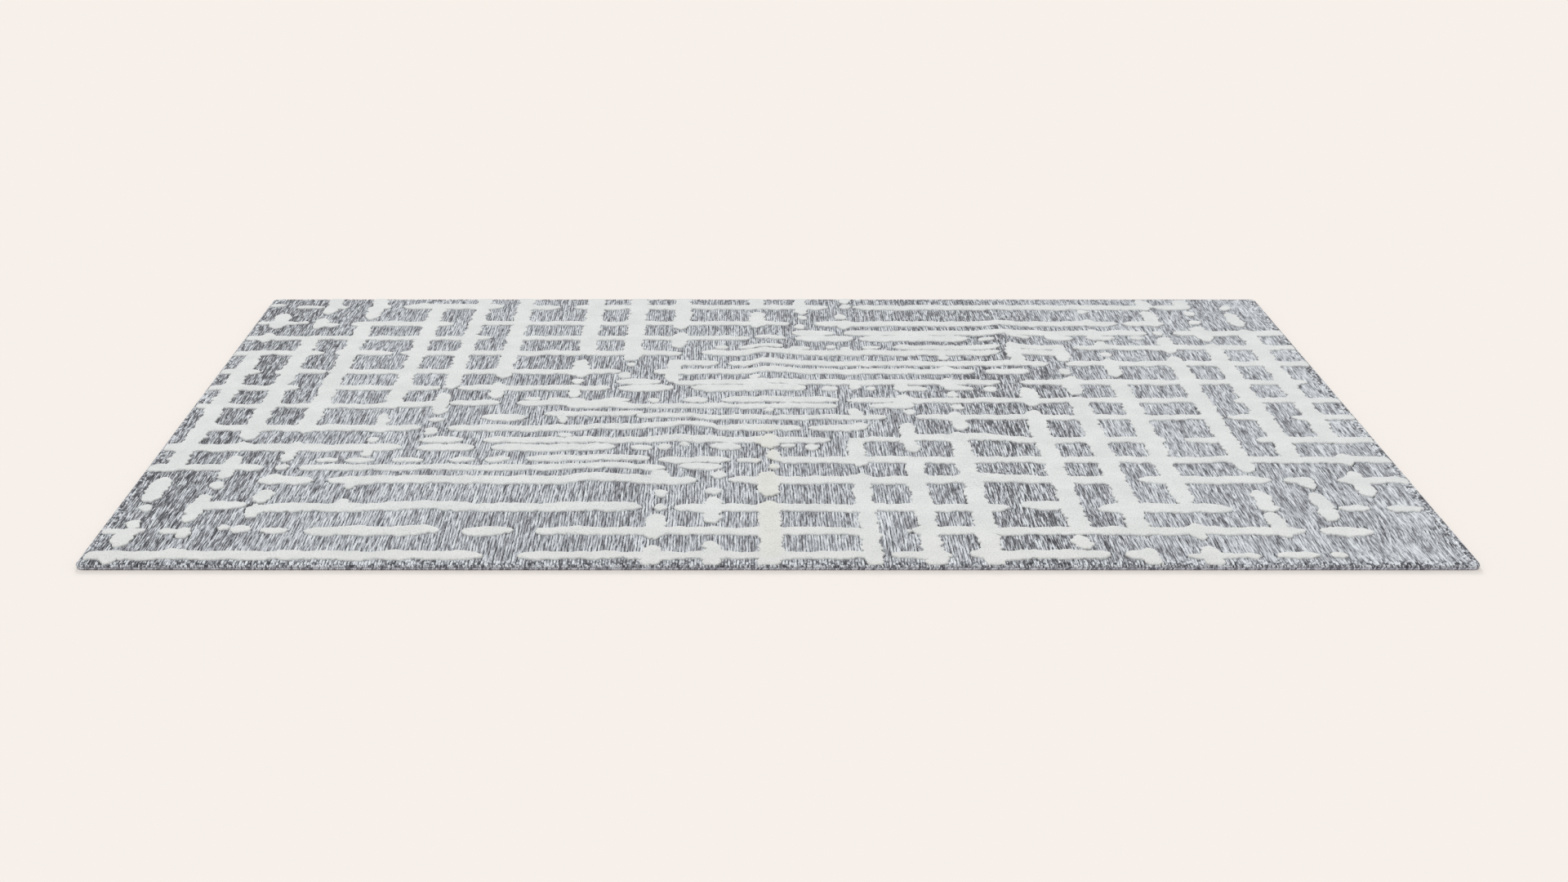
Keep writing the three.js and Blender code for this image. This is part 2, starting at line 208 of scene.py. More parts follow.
STROKES_ALONG = [
    (48, 25, (1250, 1322)), (48, 31, (446, 1168), (284, 410), (76, 158)),
    (50, 19, (240, 270), (158, 200), (4, 34)), (52, 32, (1356, 1478)), (140, 24, (190, 322)),
    (143, 22, (116, 166), (44, 68)), (147, 25, (1356, 1440), (548, 600)), (148, 31, (609, 1290)),
    (151, 27, (1470, 1600)), (151, 22, (398, 525), (348, 386)), (207, 15, (155, 175)),
    (241, 23, (208, 272), (146, 174)), (244, 30, (372, 426), (280, 346)),
    (248, 20, (489, 602), (448, 476)), (250, 32, (650, 1392)), (254, 29, (1430, 1600)),
    (390, 17, (350, 392), (258, 300)), (391, 18, (655, 768), (519, 561), (598, 626)),
    (397, 30, (800, 1540)), (493, 23, (757, 896), (720, 740), (640, 683)), (498, 28, (925, 1600)),
    (597, 31, (994, 1600)), (597, 25, (862, 966)), (743, 13, (710, 768)),
    (754, 19, (956, 990), (626, 651), (866, 930)), (757, 29, (1000, 1124)),
    (760, 34, (1166, 1600)), (851, 23, (994, 1038)), (860, 34, (1116, 1600)),
    (860, 17, (1078, 1102)), (916, 18, (837, 863)), (943, 28, (394, 446), (112, 232), (0, 86)),
    (950, 18, (310, 346), (244, 276)), (952, 25, (1040, 1124), (968, 1040)),
    (960, 26, (1208, 1328)), (962, 33, (1352, 1600)),
    (1041, 25, (324, 356), (184, 310), (0, 106)), (1052, 21, (404, 442)), (1123, 21, (985, 1011)),
    (1131, 29, (1531, 1600), (1362, 1492)), (1140, 33, (310, 440), (0, 290)),
    (1146, 34, (566, 648)), (1152, 17, (780, 801), (454, 482)), (1152, 22, (500, 558)),
    (1226, 23, (1354, 1391), (556, 586)), (1233, 22, (1472, 1600)), (1233, 17, (1428, 1460)),
    (1309, 27, (466, 620), (0, 433)), (1319, 25, (742, 799)),
    (1322, 20, (1430, 1475), (1170, 1216)), (1325, 19, (916, 968), (680, 712)),
    (1330, 27, (1354, 1420)), (1337, 22, (1558, 1600)), (1410, 29, (0, 520)),
    (1413, 25, (544, 712)), (1421, 32, (802, 886)), (1422, 24, (904, 968)),
    (1424, 17, (760, 791)), (1507, 31, (0, 655)), (1516, 26, (668, 780)), (1521, 30, (926, 996)),
    (1524, 20, (866, 906), (794, 824)), (1525, 20, (1121, 1155), (1041, 1077)),
    (1603, 20, (906, 940)), (1663, 30, (70, 128)), (1669, 32, (138, 790)), (1675, 32, (812, 932)),
    (1683, 27, (1090, 1238)), (1692, 25, (1283, 1317)), (1717, 21, (1280, 1298)),
    (1765, 24, (0, 74)), (1770, 33, (128, 866)), (1774, 20, (1020, 1061)),
    (1775, 29, (884, 1010)), (1783, 25, (1108, 1236), (1268, 1322)),
    (1866, 25, (108, 184), (0, 83)), (1872, 32, (266, 986)), (1876, 29, (1268, 1352)),
    (1876, 27, (1004, 1132)), (1879, 20, (1477, 1507), (1146, 1175), (1394, 1430)),
    (1882, 22, (1206, 1260)), (1965, 20, (1272, 1298)), (2011, 27, (240, 343), (118, 235)),
    (2018, 32, (432, 1148)), (2021, 18, (1304, 1336)), (2023, 30, (1170, 1292)),
    (2025, 29, (1376, 1498)), (2027, 27, (1504, 1592)), (2110, 26, (348, 410), (192, 332)),
    (2118, 32, (1258, 1376)), (2118, 33, (500, 1238)), (2119, 32, (1512, 1592)),
    (2120, 21, (1459, 1496), (1390, 1421)), (2206, 29, (310, 440)), (2213, 23, (468, 536)),
    (2214, 19, (1500, 1546)), (2214, 29, (1370, 1482)), (2217, 33, (592, 1350)),
]

# Low waves left by the packing folds: centre, height, reach to the left and the right,
# and reach along the rows, in millimetres.
WAVES = [
    (1140, 1110, 8.5, 18, 44, 120), (1672, 1260, 6.5, 26, 26, 105), (832, 375, 8, 42, 42, 95),
    (985, 660, 8.5, 36, 36, 45), (1545, 400, 6, 38, 38, 32), (1552, 620, 3, 40, 40, 24),
    (540, 275, 5, 60, 60, 95), (870, 742, 3, 85, 85, 28),
]
WAVE_MARGIN = 160 * MM  # the waves die out towards the rug's edge

# Bands of rows with darker, more broken yarn: centre and reach in x, in millimetres.
DARK_BANDS = [(40, 180), (1600, 120)]

# Bars whose wool is a warmer cream: centre x, and start and end in y, in millimetres.
CREAM_BARS = [(1140, 0, 700)]
CREAM_FRONT = 0.35  # how warm the ivory is along the front edge, where it fades in
CREAM_FRONT_REACH = 220 * MM
CREAM_HALF_WIDTH = 22 * MM
CREAM_FADE = 40 * MM

# The grey yarn's shade, as a place from 0 (dark) to 1 (pale) on its ramp of colours.
MEAN_TONE = 0.662
TONE_STRETCHES = [(4, 0.09), (10, 0.10)]  # reach in loops, and strength
ROW_TONE = 0.05  # spread from row to row
LOOP_TONE = 0.04  # spread from loop to loop
BAND_CONTRAST = 0.5
BAND_DEPTH = 0.23
TONE_FALL = 0.02  # from the left to the right, and from the front to the back
# Wide patches of shade: turns across the rug in x and y, and phase.
TONE_PATCHES = [(2.3, 1.4, 0.4), (5.1, 3.3, 2.0), (9.7, 6.1, 4.1)]
PATCH_DEPTH = 0.022


# ---------------------------------------------------------------- plan shapes


def wave(x, y):
    """How far the rug stands off the floor at a plan point."""
    lift = np.zeros(np.broadcast(x, y).shape)
    for centre_x, centre_y, height, reach_left, reach_right, reach_y in WAVES:
        across = x - FRONT_LEFT[0] - centre_x * MM
        across = across / np.where(across < 0, reach_left * MM, reach_right * MM)
        along = (y - FRONT_LEFT[1] - centre_y * MM) / (reach_y * MM)
        lift = lift + height * MM * np.exp(-(across**2 + along**2) / 2)
    inside = np.clip(edge_distance(x, y) / WAVE_MARGIN, 0, 1)
    return lift * inside * inside * (3 - 2 * inside)


def edge_distance(x, y, inset=0.0, radius=CORNER_RADIUS):
    """Distance from a plan point to the rug's rounded outline, positive inside it."""
    radius = max(radius - inset, 1 * MM)
    over_x = np.abs(x) - (LENGTH / 2 - inset - radius)
    over_y = np.abs(y) - (WIDTH / 2 - inset - radius)
    corner = np.hypot(np.maximum(over_x, 0), np.maximum(over_y, 0))
    return radius - corner - np.minimum(np.maximum(over_x, over_y), 0)


def roll(x, y):
    """How far the pile's top drops as it rolls over the rug's edge."""
    near = 1 - np.clip((edge_distance(x, y) - PILE_INSET) / ROLL_REACH, 0, 1)
    return ROLL_DROP * near * near


def wander(random, t, amplitude, wavelength):
    """A smooth random line along t, made of three sines of about the given wavelength."""
    total = np.zeros_like(t)
    for share in (1.6, 1.0, 0.6):
        phase = random.uniform(0, 2 * math.pi)
        length = wavelength * share * random.uniform(0.85, 1.15)
        total += share * np.sin(2 * math.pi * t / length + phase)
    return amplitude * total / 2


def stroke_distance(t, s, middle, half_run, low, high):
    """Distance inside a stroke with tapered ends. It runs along t between two edges in s."""
    half = np.maximum(high - low, 2 * MM) / 2
    radius = np.minimum(half, half_run)
    taper = np.minimum(TAPER * half, half_run)
    over_t = np.maximum(np.abs(t - middle) - (half_run - taper), 0) * radius / taper
    over_s = np.abs(s - (high + low) / 2) - (half - radius)
    return radius - np.hypot(over_t, np.maximum(over_s, 0)) - np.minimum(over_s, 0)


def past_edge(start, end, size):
    """A run's ends. One that reaches the rug's edge goes on past it and keeps its full width."""
    return start - OVERRUN * (start == 0), end + OVERRUN * (end == round(size / MM))


def stroke_x(place):
    """The x of a place in millimetres from the left."""
    return FRONT_LEFT[0] + place * MM


def stroke_y(place):
    """The y of a place in millimetres from the front, drawn forward a little towards the back."""
    return FRONT_LEFT[1] + (place - 2 - 0.0025 * place) * MM


def smooth_join(a, b):
    """The greater of two distances, with a fillet where they cross."""
    near = np.maximum(FILLET - np.abs(a - b), 0) / FILLET
    return np.maximum(a, b) + near * near * FILLET / 4


def wavy_edges(random, t, middle, half, drift, swell, ripple):
    """A stroke's lower and upper edge along t."""
    shared = wander(random, t, *drift)
    low = middle - half + shared + wander(random, t, *swell)
    high = middle + half + shared + wander(random, t, *swell)
    low += wander(random, t, *ripple)
    high += wander(random, t, *ripple)
    return low, high


def add_strokes(field, random, strokes, waves, size, t, s, place_t, place_s):
    """Joins strokes that run along t to a field whose columns lie at t and rows at s."""
    for centre, width, *runs in strokes:
        middle, half = place_s(centre), width * MM / 2 + SPREAD
        for start, end in runs:
            start, end = past_edge(start, end, size)
            start, end = place_t(start), place_t(end)
            low, high = wavy_edges(random, t, middle, half, *waves)
            run = slice(*np.searchsorted(t, [start - FIELD_MARGIN, end + FIELD_MARGIN]))
            reach = half + FIELD_MARGIN
            near = slice(*np.searchsorted(s, [middle - reach, middle + reach]))
            inside = stroke_distance(t[None, run], s[near, None], (start + end) / 2,
                                     (end - start) / 2, low[None, run], high[None, run])
            field[near, run] = smooth_join(field[near, run], np.maximum(inside, FIELD_FAR))


def stroke_field(grid_x, grid_y):
    """Distance to the edge of the ivory pile over the plan grid, positive inside it.

    A stroke across the rug has smooth, wavy edges. A stroke along the tufted rows has
    ragged ones, because each row stops by itself.
    """
    random = np.random.default_rng(11)
    field = np.full((len(grid_y), len(grid_x)), FIELD_FAR)
    add_strokes(field, random, STROKES_ACROSS, WAVY_ACROSS, LENGTH, grid_x, grid_y,
                stroke_x, stroke_y)
    add_strokes(field.T, random, STROKES_ALONG, WAVY_ALONG, WIDTH, grid_y, grid_x,
                stroke_y, stroke_x)

    # Each row stops by itself, so the noise is new in every column and lasts a little way
    # along it.
    grain = random.normal(0, 1, (len(grid_y) + len(RAGGED_WEIGHTS) - 1, len(grid_x)))
    ragged = np.zeros(field.shape)
    for lag, weight in enumerate(RAGGED_WEIGHTS):
        ragged += RAGGED_LONG * weight * grain[lag:lag + len(grid_y)]
    ragged += random.normal(0, RAGGED_SHORT, field.shape)
    return np.minimum(field, edge_distance(*np.meshgrid(grid_x, grid_y)) - IVORY_INSET) + ragged


def sample(field, grid_x, grid_y, x, y):
    """The field at plan points, read between the grid's points."""
    step_x, step_y = grid_x[1] - grid_x[0], grid_y[1] - grid_y[0]
    u = np.clip((x - grid_x[0]) / step_x, 0, len(grid_x) - 1.001)
    v = np.clip((y - grid_y[0]) / step_y, 0, len(grid_y) - 1.001)
    i, j = u.astype(int), v.astype(int)
    u, v = u - i, v - j
    low = field[j, i] * (1 - u) + field[j, i + 1] * u
    high = field[j + 1, i] * (1 - u) + field[j + 1, i + 1] * u
    return low * (1 - v) + high * v


# ---------------------------------------------------------------- meshes and nodes


def new_mesh(name, points, faces=(), edges=(), **attributes):
    """A mesh object with float attributes on its points. Faces are a list or an array."""
    faces = faces.tolist() if isinstance(faces, np.ndarray) else list(faces)
    mesh = bpy.data.meshes.new(name)
    mesh.from_pydata(np.asarray(points).tolist(), list(edges), faces)
    for key, values in attributes.items():
        layer = mesh.attributes.new(key, "FLOAT", "POINT")
        layer.data.foreach_set("value", np.asarray(values, np.float32))
    piece = bpy.data.objects.new(name, mesh)
    bpy.context.scene.collection.objects.link(piece)
    return piece


def chain(count, first=0):
    """Edges that join points in a row."""
    return [(first + k, first + k + 1) for k in range(count - 1)]


def finish_piece(piece, slot, *nodes, smooth=True):
    """Rides a finished piece on the rug and hides the CAD nodes it stands for."""
    if smooth:
        piece.data.shade_smooth()
    else:
        piece.data.shade_flat()
    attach(piece, "root")
    if nodes:
        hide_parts(*nodes)
    return piece


class Nodes:
    """A node tree under construction."""

    tree = None

    def node(self, kind, links=(), **settings):
        """Adds a node. A setting is a property or an input's value; links are (input, output)."""
        made = self.tree.nodes.new(kind)
        for key, value in settings.items():
            if hasattr(made, key):
                setattr(made, key, value)
            else:
                made.inputs[key.replace("_", " ")].default_value = value
        for key, output in dict(links).items():
            self.tree.links.new(output, made.inputs[key])
        return made


class Maker(Nodes):
    """A geometry-nodes tree with named inputs, which makes a plain mesh from an object."""

    def __init__(self, name, **inputs):
        self.tree = bpy.data.node_groups.new(name, "GeometryNodeTree")
        face = self.tree.interface
        face.new_socket(name="Geometry", in_out="INPUT", socket_type="NodeSocketGeometry")
        face.new_socket(name="Geometry", in_out="OUTPUT", socket_type="NodeSocketGeometry")
        for key, kind in inputs.items():
            face.new_socket(name=key.replace("_", " "), in_out="INPUT",
                            socket_type="NodeSocket" + kind)
        self.inputs = self.node("NodeGroupInput").outputs

    def shape(self, kind, links=(), **settings):
        """The first output of a geometry node."""
        return self.node("GeometryNode" + kind, links, **settings).outputs[0]

    def object_shape(self, name):
        """The geometry of the object in a named input."""
        info = self.node("GeometryNodeObjectInfo", {"Object": self.inputs[name]})
        return info.outputs["Geometry"]

    def tube(self, lines, ring):
        """Sweeps a scaled ring along lines, as thick as their points' girth says."""
        size = self.node("ShaderNodeCombineXYZ", {"X": self.inputs["Half width"],
                                                  "Y": self.inputs["Half height"]}, Z=1.0)
        oval = self.shape("Transform", {"Geometry": ring, "Scale": size.outputs[0]})
        girth = self.shape("InputNamedAttribute", data_type="FLOAT", Name="girth")
        return self.shape("CurveToMesh", {"Curve": lines, "Profile Curve": oval, "Scale": girth},
                          Fill_Caps=True)

    def spaced_points(self, **axes):
        """Points at the pitch along the source's lines, and the turn that follows them."""
        line = self.shape("MeshToCurve", {"Mesh": self.inputs["Geometry"]})
        places = self.shape("ResampleCurve", {"Curve": line, "Length": self.inputs["Pitch"]},
                            mode="LENGTH")
        turn = self.node("FunctionNodeAlignRotationToVector",
                         {"Vector": self.shape("InputTangent")}, **axes)
        return places, turn.outputs[0]

    def copies(self, places, shape, turn):
        """Instances of a shape on the points."""
        return self.shape("InstanceOnPoints", {"Points": places, "Instance": shape,
                                               "Rotation": turn})

    def end(self, geometry):
        """Closes the tree with Realize Instances and the Material input."""
        real = self.shape("RealizeInstances", {"Geometry": geometry})
        paint = self.shape("SetMaterial", {"Geometry": real, "Material": self.inputs["Material"]})
        self.node("NodeGroupOutput", {"Geometry": paint})
        return self

    def run(self, source, **values):
        """Applies the tree to the source object, which keeps only the resulting mesh."""
        modifier = source.modifiers.new(self.tree.name, "NODES")
        modifier.node_group = self.tree
        for item in self.tree.interface.items_tree:
            key = item.name.replace(" ", "_")
            if item.in_out == "INPUT" and key in values:
                modifier[item.identifier] = values[key]
        shown = source.evaluated_get(bpy.context.evaluated_depsgraph_get())
        mesh = bpy.data.meshes.new_from_object(shown)
        source.modifiers.remove(modifier)
        source.data = mesh
        return source


def yarn_maker():
    """Turns lines into yarn with the given section."""
    make = Maker("yarn_along_lines", Section="Object", Half_width="Float", Half_height="Float",
                 Material="Material")
    lines = make.shape("MeshToCurve", {"Mesh": make.inputs["Geometry"]})
    upright = make.shape("SetCurveNormal", {"Curve": lines}, mode="Z_UP")
    ring = make.shape("MeshToCurve", {"Mesh": make.object_shape("Section")})
    number = make.shape("InputIndex")
    marked = make.shape("StoreNamedAttribute", {"Geometry": ring, "Value": number},
                        data_type="INT", domain="POINT", Name="side")
    return make.end(make.tube(upright, marked))


def yarn_section(name, corners):
    """A closed outline for the yarn maker to draw along its lines."""
    ring = chain(len(corners)) + [(len(corners) - 1, 0)]
    return new_mesh(name, [(x, y, 0) for x, y in corners], edges=ring)


def overcast_maker():
    """Repeats one wrap of yarn at an even pitch along the rug's edge."""
    make = Maker("overcast_wraps", Wrap="Object", Pitch="Float", Half_width="Float",
                 Half_height="Float", Slack="Float", Seed="Int", Material="Material")
    places, turn = make.spaced_points(axis="X", pivot_axis="Z")
    slack = make.node("ShaderNodeMath", {0: make.inputs["Slack"]}, operation="MULTIPLY")
    slack.inputs[1].default_value = -1.0
    lean = make.node("FunctionNodeRandomValue",
                     {"Seed": make.inputs["Seed"], 2: slack.outputs[0], 3: make.inputs["Slack"]},
                     data_type="FLOAT")
    twist = make.node("ShaderNodeCombineXYZ", {"Z": lean.outputs[1]})
    turned = make.node("FunctionNodeRotateRotation",
                       {"Rotation": turn, "Rotate By": twist.outputs[0]},
                       rotation_space="LOCAL")
    wraps = make.copies(places, make.object_shape("Wrap"), turned.outputs[0])
    tone = make.node("FunctionNodeRandomValue", {"Seed": make.inputs["Seed"]}, data_type="FLOAT")
    toned = make.shape("StoreNamedAttribute", {"Geometry": wraps, "Value": tone.outputs[1]},
                       data_type="FLOAT", domain="INSTANCE", Name="tone")
    real = make.shape("RealizeInstances", {"Geometry": toned})
    lines = make.shape("MeshToCurve", {"Mesh": real})
    ring = make.shape("CurvePrimitiveCircle", Resolution=4, Radius=1.0)
    return make.end(make.tube(lines, ring))


def stitch_maker():
    """Repeats a short stitch at an even pitch along sewn lines."""
    make = Maker("hem_stitches", Pitch="Float", Stitch_length="Float", Thread="Float",
                 Material="Material")
    places, turn = make.spaced_points(axis="Z")
    thread = make.shape("MeshCylinder", {"Radius": make.inputs["Thread"],
                                         "Depth": make.inputs["Stitch length"]}, Vertices=5)
    return make.end(make.copies(places, thread, turn))


# ---------------------------------------------------------------- finishes


class Finish(Nodes):
    """A material under construction, with short calls for its nodes."""

    def __init__(self, name, roughness, sheen=0.0):
        self.material = bpy.data.materials.new(name)
        self.material.use_nodes = True
        self.tree = self.material.node_tree
        self.shader = self.tree.nodes["Principled BSDF"]
        self.shader.inputs["Roughness"].default_value = roughness
        self.shader.inputs["Sheen Weight"].default_value = sheen
        self.shader.inputs["Sheen Roughness"].default_value = 0.5
        self.shader.inputs["Specular IOR Level"].default_value = 0.15
        self.place = self.node("ShaderNodeTexCoord").outputs["Object"]

    def stretched(self, scale):
        """Object coordinates scaled along each axis, in repeats a metre."""
        return self.node("ShaderNodeMapping", {"Vector": self.place}, Scale=scale).outputs[0]

    def noise(self, scale, detail=3.0, roughness=0.6):
        """Noise stretched by a scale for each axis."""
        return self.node("ShaderNodeTexNoise", {"Vector": self.stretched(scale)}, Scale=1.0,
                         Detail=detail, Roughness=roughness).outputs["Fac"]

    def attribute(self, name):
        """A mesh attribute's value."""
        return self.node("ShaderNodeAttribute", attribute_name=name).outputs["Fac"]

    def math(self, operation, a, b):
        """A Math node on two outputs or numbers."""
        made = self.node("ShaderNodeMath", operation=operation)
        for socket, value in zip(made.inputs, (a, b)):
            if isinstance(value, (int, float)):
                socket.default_value = value
            else:
                self.tree.links.new(value, socket)
        return made.outputs[0]

    def ramp(self, factor, stops):
        """A colour ramp over (position, linear colour) stops."""
        made = self.node("ShaderNodeValToRGB", {"Fac": factor})
        elements = made.color_ramp.elements
        while len(elements) < len(stops):
            elements.new(0.5)
        for element, (position, color) in zip(elements, stops):
            element.position = position
            element.color = (*color, 1)
        return made.outputs["Color"]

    def mix(self, factor, a, b, blend="MIX"):
        """Mixes two colours, each an output or a linear colour."""
        made = self.node("ShaderNodeMix", data_type="RGBA", blend_type=blend)
        for socket, value in zip((made.inputs[0], made.inputs[6], made.inputs[7]), (factor, a, b)):
            if isinstance(value, (int, float)):
                socket.default_value = value
            elif isinstance(value, tuple):
                socket.default_value = (*value, 1)
            else:
                self.tree.links.new(value, socket)
        return made.outputs[2]

    def weave(self, pitch):
        """The height of a plain weave whose threads lie at the given pitch."""
        turns = math.pi / pitch
        place = self.node("ShaderNodeSeparateXYZ", {"Vector": self.stretched((turns,) * 3)})
        along = self.math("SINE", place.outputs["X"], 0)
        across = self.math("SINE", place.outputs["Y"], 0)
        half = self.math("MULTIPLY", self.math("MULTIPLY", along, across), 0.5)
        return self.math("ADD", half, 0.5)

    def end(self, color, height=None, depth=0.0005, strength=0.6):
        """Joins colour and bump to the shader and returns the material."""
        self.tree.links.new(color, self.shader.inputs["Base Color"])
        if height is not None:
            bump = self.node("ShaderNodeBump", {"Height": height}, Strength=strength,
                             Distance=depth)
            self.tree.links.new(bump.outputs[0], self.shader.inputs["Normal"])
        return self.material


def heathered_wool(name, stops, fleck=1.25):
    """Wool spun from dark and pale fibre. Its tone attribute picks the shade along the yarn,
    and its broken attribute strengthens the flecks."""
    wool = Finish(name, roughness=0.92, sheen=0.25)
    fibre = wool.noise((640, 32, 640), detail=2.0, roughness=0.5)
    strength = wool.math("MULTIPLY", wool.math("ADD", wool.attribute("broken"), 1.0), 2 * fleck)
    shade = wool.math("ADD", wool.attribute("tone"),
                      wool.math("MULTIPLY", wool.math("SUBTRACT", fibre, 0.5), strength))
    return wool.end(wool.ramp(shade, stops), fibre, depth=0.0006)


def ivory_wool():
    """Cut ivory wool, warmer where its cream attribute says, in slightly uneven patches."""
    wool = Finish("ivory_wool", roughness=0.95, sheen=0.3)
    tufts = wool.noise((420, 300, 420), detail=3.0, roughness=0.7)
    base = wool.ramp(tufts, [(0.30, (0.425, 0.437, 0.434)), (0.46, (0.655, 0.668, 0.660)),
                             (0.68, (0.762, 0.772, 0.760))])
    creamy = wool.mix(1.0, base, (1.0, 0.975, 0.93), "MULTIPLY")
    warm = wool.mix(wool.attribute("cream"), base, creamy)
    patches = wool.ramp(wool.noise((14, 14, 14), detail=4.0, roughness=0.7),
                        [(0.35, (0.0, 0.0, 0.0)), (0.65, (1.0, 1.0, 1.0))])
    shaded = wool.mix(patches, warm, wool.mix(1.0, warm, (0.895, 0.90, 0.90), "MULTIPLY"))
    return wool.end(shaded, tufts, depth=0.0012, strength=0.5)


def woven_cloth(name, pale, dark, pitch):
    """A plain weave of slubby threads."""
    cloth = Finish(name, roughness=0.9, sheen=0.1)
    threads = cloth.weave(pitch)
    slubs = cloth.noise((60, 700, 60), detail=2.0)
    color = cloth.mix(slubs, dark, pale)
    shaded = cloth.mix(cloth.math("MULTIPLY", threads, 0.3), color, dark)
    return cloth.end(shaded, threads, depth=pitch / 4)


def twill_cotton():
    """Cotton tape with slanting ribs."""
    cloth = Finish("twill_cotton", roughness=0.88, sheen=0.1)
    place = cloth.node("ShaderNodeSeparateXYZ", {"Vector": cloth.stretched((2600, 2600, 2600))})
    ribs = cloth.math("SINE", cloth.math("ADD", place.outputs["X"], place.outputs["Y"]), 0)
    slubs = cloth.noise((90, 90, 90), detail=2.0)
    color = cloth.mix(slubs, (0.50, 0.45, 0.36), (0.66, 0.61, 0.51))
    return cloth.end(color, ribs, depth=0.0003)


def dried_latex():
    """Dried latex, blotchy and finely pitted."""
    latex = Finish("dried_latex", roughness=0.55)
    skin = latex.noise((45, 45, 45), detail=4.0)
    pits = latex.noise((600, 600, 600), detail=2.0)
    color = latex.ramp(skin, [(0.3, (0.58, 0.50, 0.33)), (0.7, (0.74, 0.67, 0.47))])
    return latex.end(color, pits, depth=0.0004)


def cotton_rope():
    """Twisted cotton strands."""
    rope = Finish("cotton_rope", roughness=0.9, sheen=0.1)
    place = rope.node("ShaderNodeSeparateXYZ", {"Vector": rope.stretched((900, 900, 1800))})
    lay = rope.math("ADD", place.outputs["X"], place.outputs["Y"])
    strands = rope.math("SINE", rope.math("ADD", lay, place.outputs["Z"]), 0)
    color = rope.ramp(strands, [(0.0, (0.50, 0.45, 0.36)), (0.6, (0.72, 0.68, 0.58))])
    return rope.end(color, strands, depth=0.0004)


GREY_STOPS = [
    (0.00, (0.042, 0.043, 0.052)), (0.25, (0.142, 0.145, 0.168)), (0.50, (0.322, 0.336, 0.364)),
    (0.75, (0.530, 0.556, 0.588)), (1.00, (0.730, 0.760, 0.785)),
]
# The loops' packed feet, near black: painted shade that shows in the gaps between the rows.
FEET_SHADE_STOPS = [(0.0, (0.03, 0.03, 0.034)), (1.0, (0.20, 0.20, 0.215))]
EDGE_STOPS = [
    (0.0, (0.10, 0.10, 0.13)), (0.35, (0.33, 0.335, 0.39)), (1.0, (0.66, 0.68, 0.74)),
]

grey_yarn = heathered_wool("grey_heather_wool", GREY_STOPS)
feet_painted_shade = heathered_wool("grey_heather_feet", FEET_SHADE_STOPS)
edge_yarn = heathered_wool("overcast_heather_yarn", EDGE_STOPS)
ivory = ivory_wool()
tufting_weave = woven_cloth("tufting_weave", (0.62, 0.58, 0.49), (0.42, 0.39, 0.32), 1.5 * MM)
net_weave = woven_cloth("leno_net", (0.78, 0.76, 0.70), (0.52, 0.50, 0.44), 3.2 * MM)
canvas_weave = woven_cloth("canvas_weave", (0.66, 0.60, 0.49), (0.48, 0.43, 0.34), 1.1 * MM)
tape_twill = twill_cotton()
latex_skin = dried_latex()
rope_cotton = cotton_rope()
yarn_lines = yarn_maker()
edge_wraps = overcast_maker()
sewn_lines = stitch_maker()


# ---------------------------------------------------------------- grey loop rows


def broken_yarn(x):
    """How broken and dark the yarn is in the rows at x, from 0 to about 1."""
    place = (x - FRONT_LEFT[0]) / MM
    return sum(np.exp(-((place - centre) / reach) ** 2) for centre, reach in DARK_BANDS)


def smooth_noise(random, rows, steps, reach, spread=1.0):
    """Noise for every step of every row, which changes gently over the reach, in steps."""
    window = np.hanning(2 * reach + 1)
    window /= np.sqrt((window**2).sum())
    grain = random.normal(0, spread, (rows, steps + 2 * reach))
    return np.array([np.convolve(line, window, "valid") for line in grain])


def row_tones(random, rows, steps):
    """How pale each loop is. A yarn keeps its shade for a stretch, and wide patches drift."""
    tones = np.zeros((rows, steps))
    for reach, weight in TONE_STRETCHES:
        tones += weight * smooth_noise(random, rows, steps, reach)
    tones += ROW_TONE * random.normal(size=(rows, 1))
    tones += LOOP_TONE * random.normal(size=(rows, steps))
    u = np.linspace(0, 1, rows)[:, None]
    v = np.linspace(0, 1, steps)[None, :]
    deep = broken_yarn(LENGTH * (u - 0.5))
    tones *= 1 + BAND_CONTRAST * deep
    drift = -TONE_FALL * u - TONE_FALL * v - BAND_DEPTH * deep
    for turns_u, turns_v, phase in TONE_PATCHES:
        wave_u = np.sin(2 * math.pi * turns_u * u + phase)
        drift = drift + PATCH_DEPTH * wave_u * np.cos(2 * math.pi * turns_v * v + 2 * phase)
    return MEAN_TONE + drift + tones


def row_wander(x, y):
    """Sideways drift of the rows, strongest in the front right corner."""
    gentle = 0.9 * MM * np.sin(9 * y + 5 * x) + 0.5 * MM * np.sin(23 * y - 11 * x)
    near = np.exp(-((x - LENGTH / 2) / 0.20) ** 2 - ((y + WIDTH / 2) / 0.26) ** 2)
    return gentle + 7 * MM * near * np.sin(24 * y + 3 * x)


def free_runs(free):
    """The stretches of a row that stand clear of the ivory pile, two loops long or more."""
    inside = np.flatnonzero(free > 0)
    breaks = np.flatnonzero(np.diff(inside) > 1) + 1
    return [run for run in np.split(inside, breaks) if len(run) > 1]


def run_line(x, y, girth, free, run):
    """The points and girths of a row's run, which ends where the ivory pile begins."""
    x, y, girth = x[run], y[run], girth[run]
    for end, step in ((0, -1), (-1, 1)):
        beyond = run[end] + step
        if 0 <= beyond < len(free):
            here, there = free[run[end]], free[beyond]
            y[end] += step * LOOP_STEP * here / (here - there)
    lift = wave(x, y) - roll(x, y)
    girth[[0, -1]] *= END_GIRTH
    height = GROUND_TOP + ROW_RISE - ROW_HALF_HEIGHT + lift - (1 - girth) * 0.5 * ROW_HALF_HEIGHT
    return np.column_stack([x, y, height]), girth


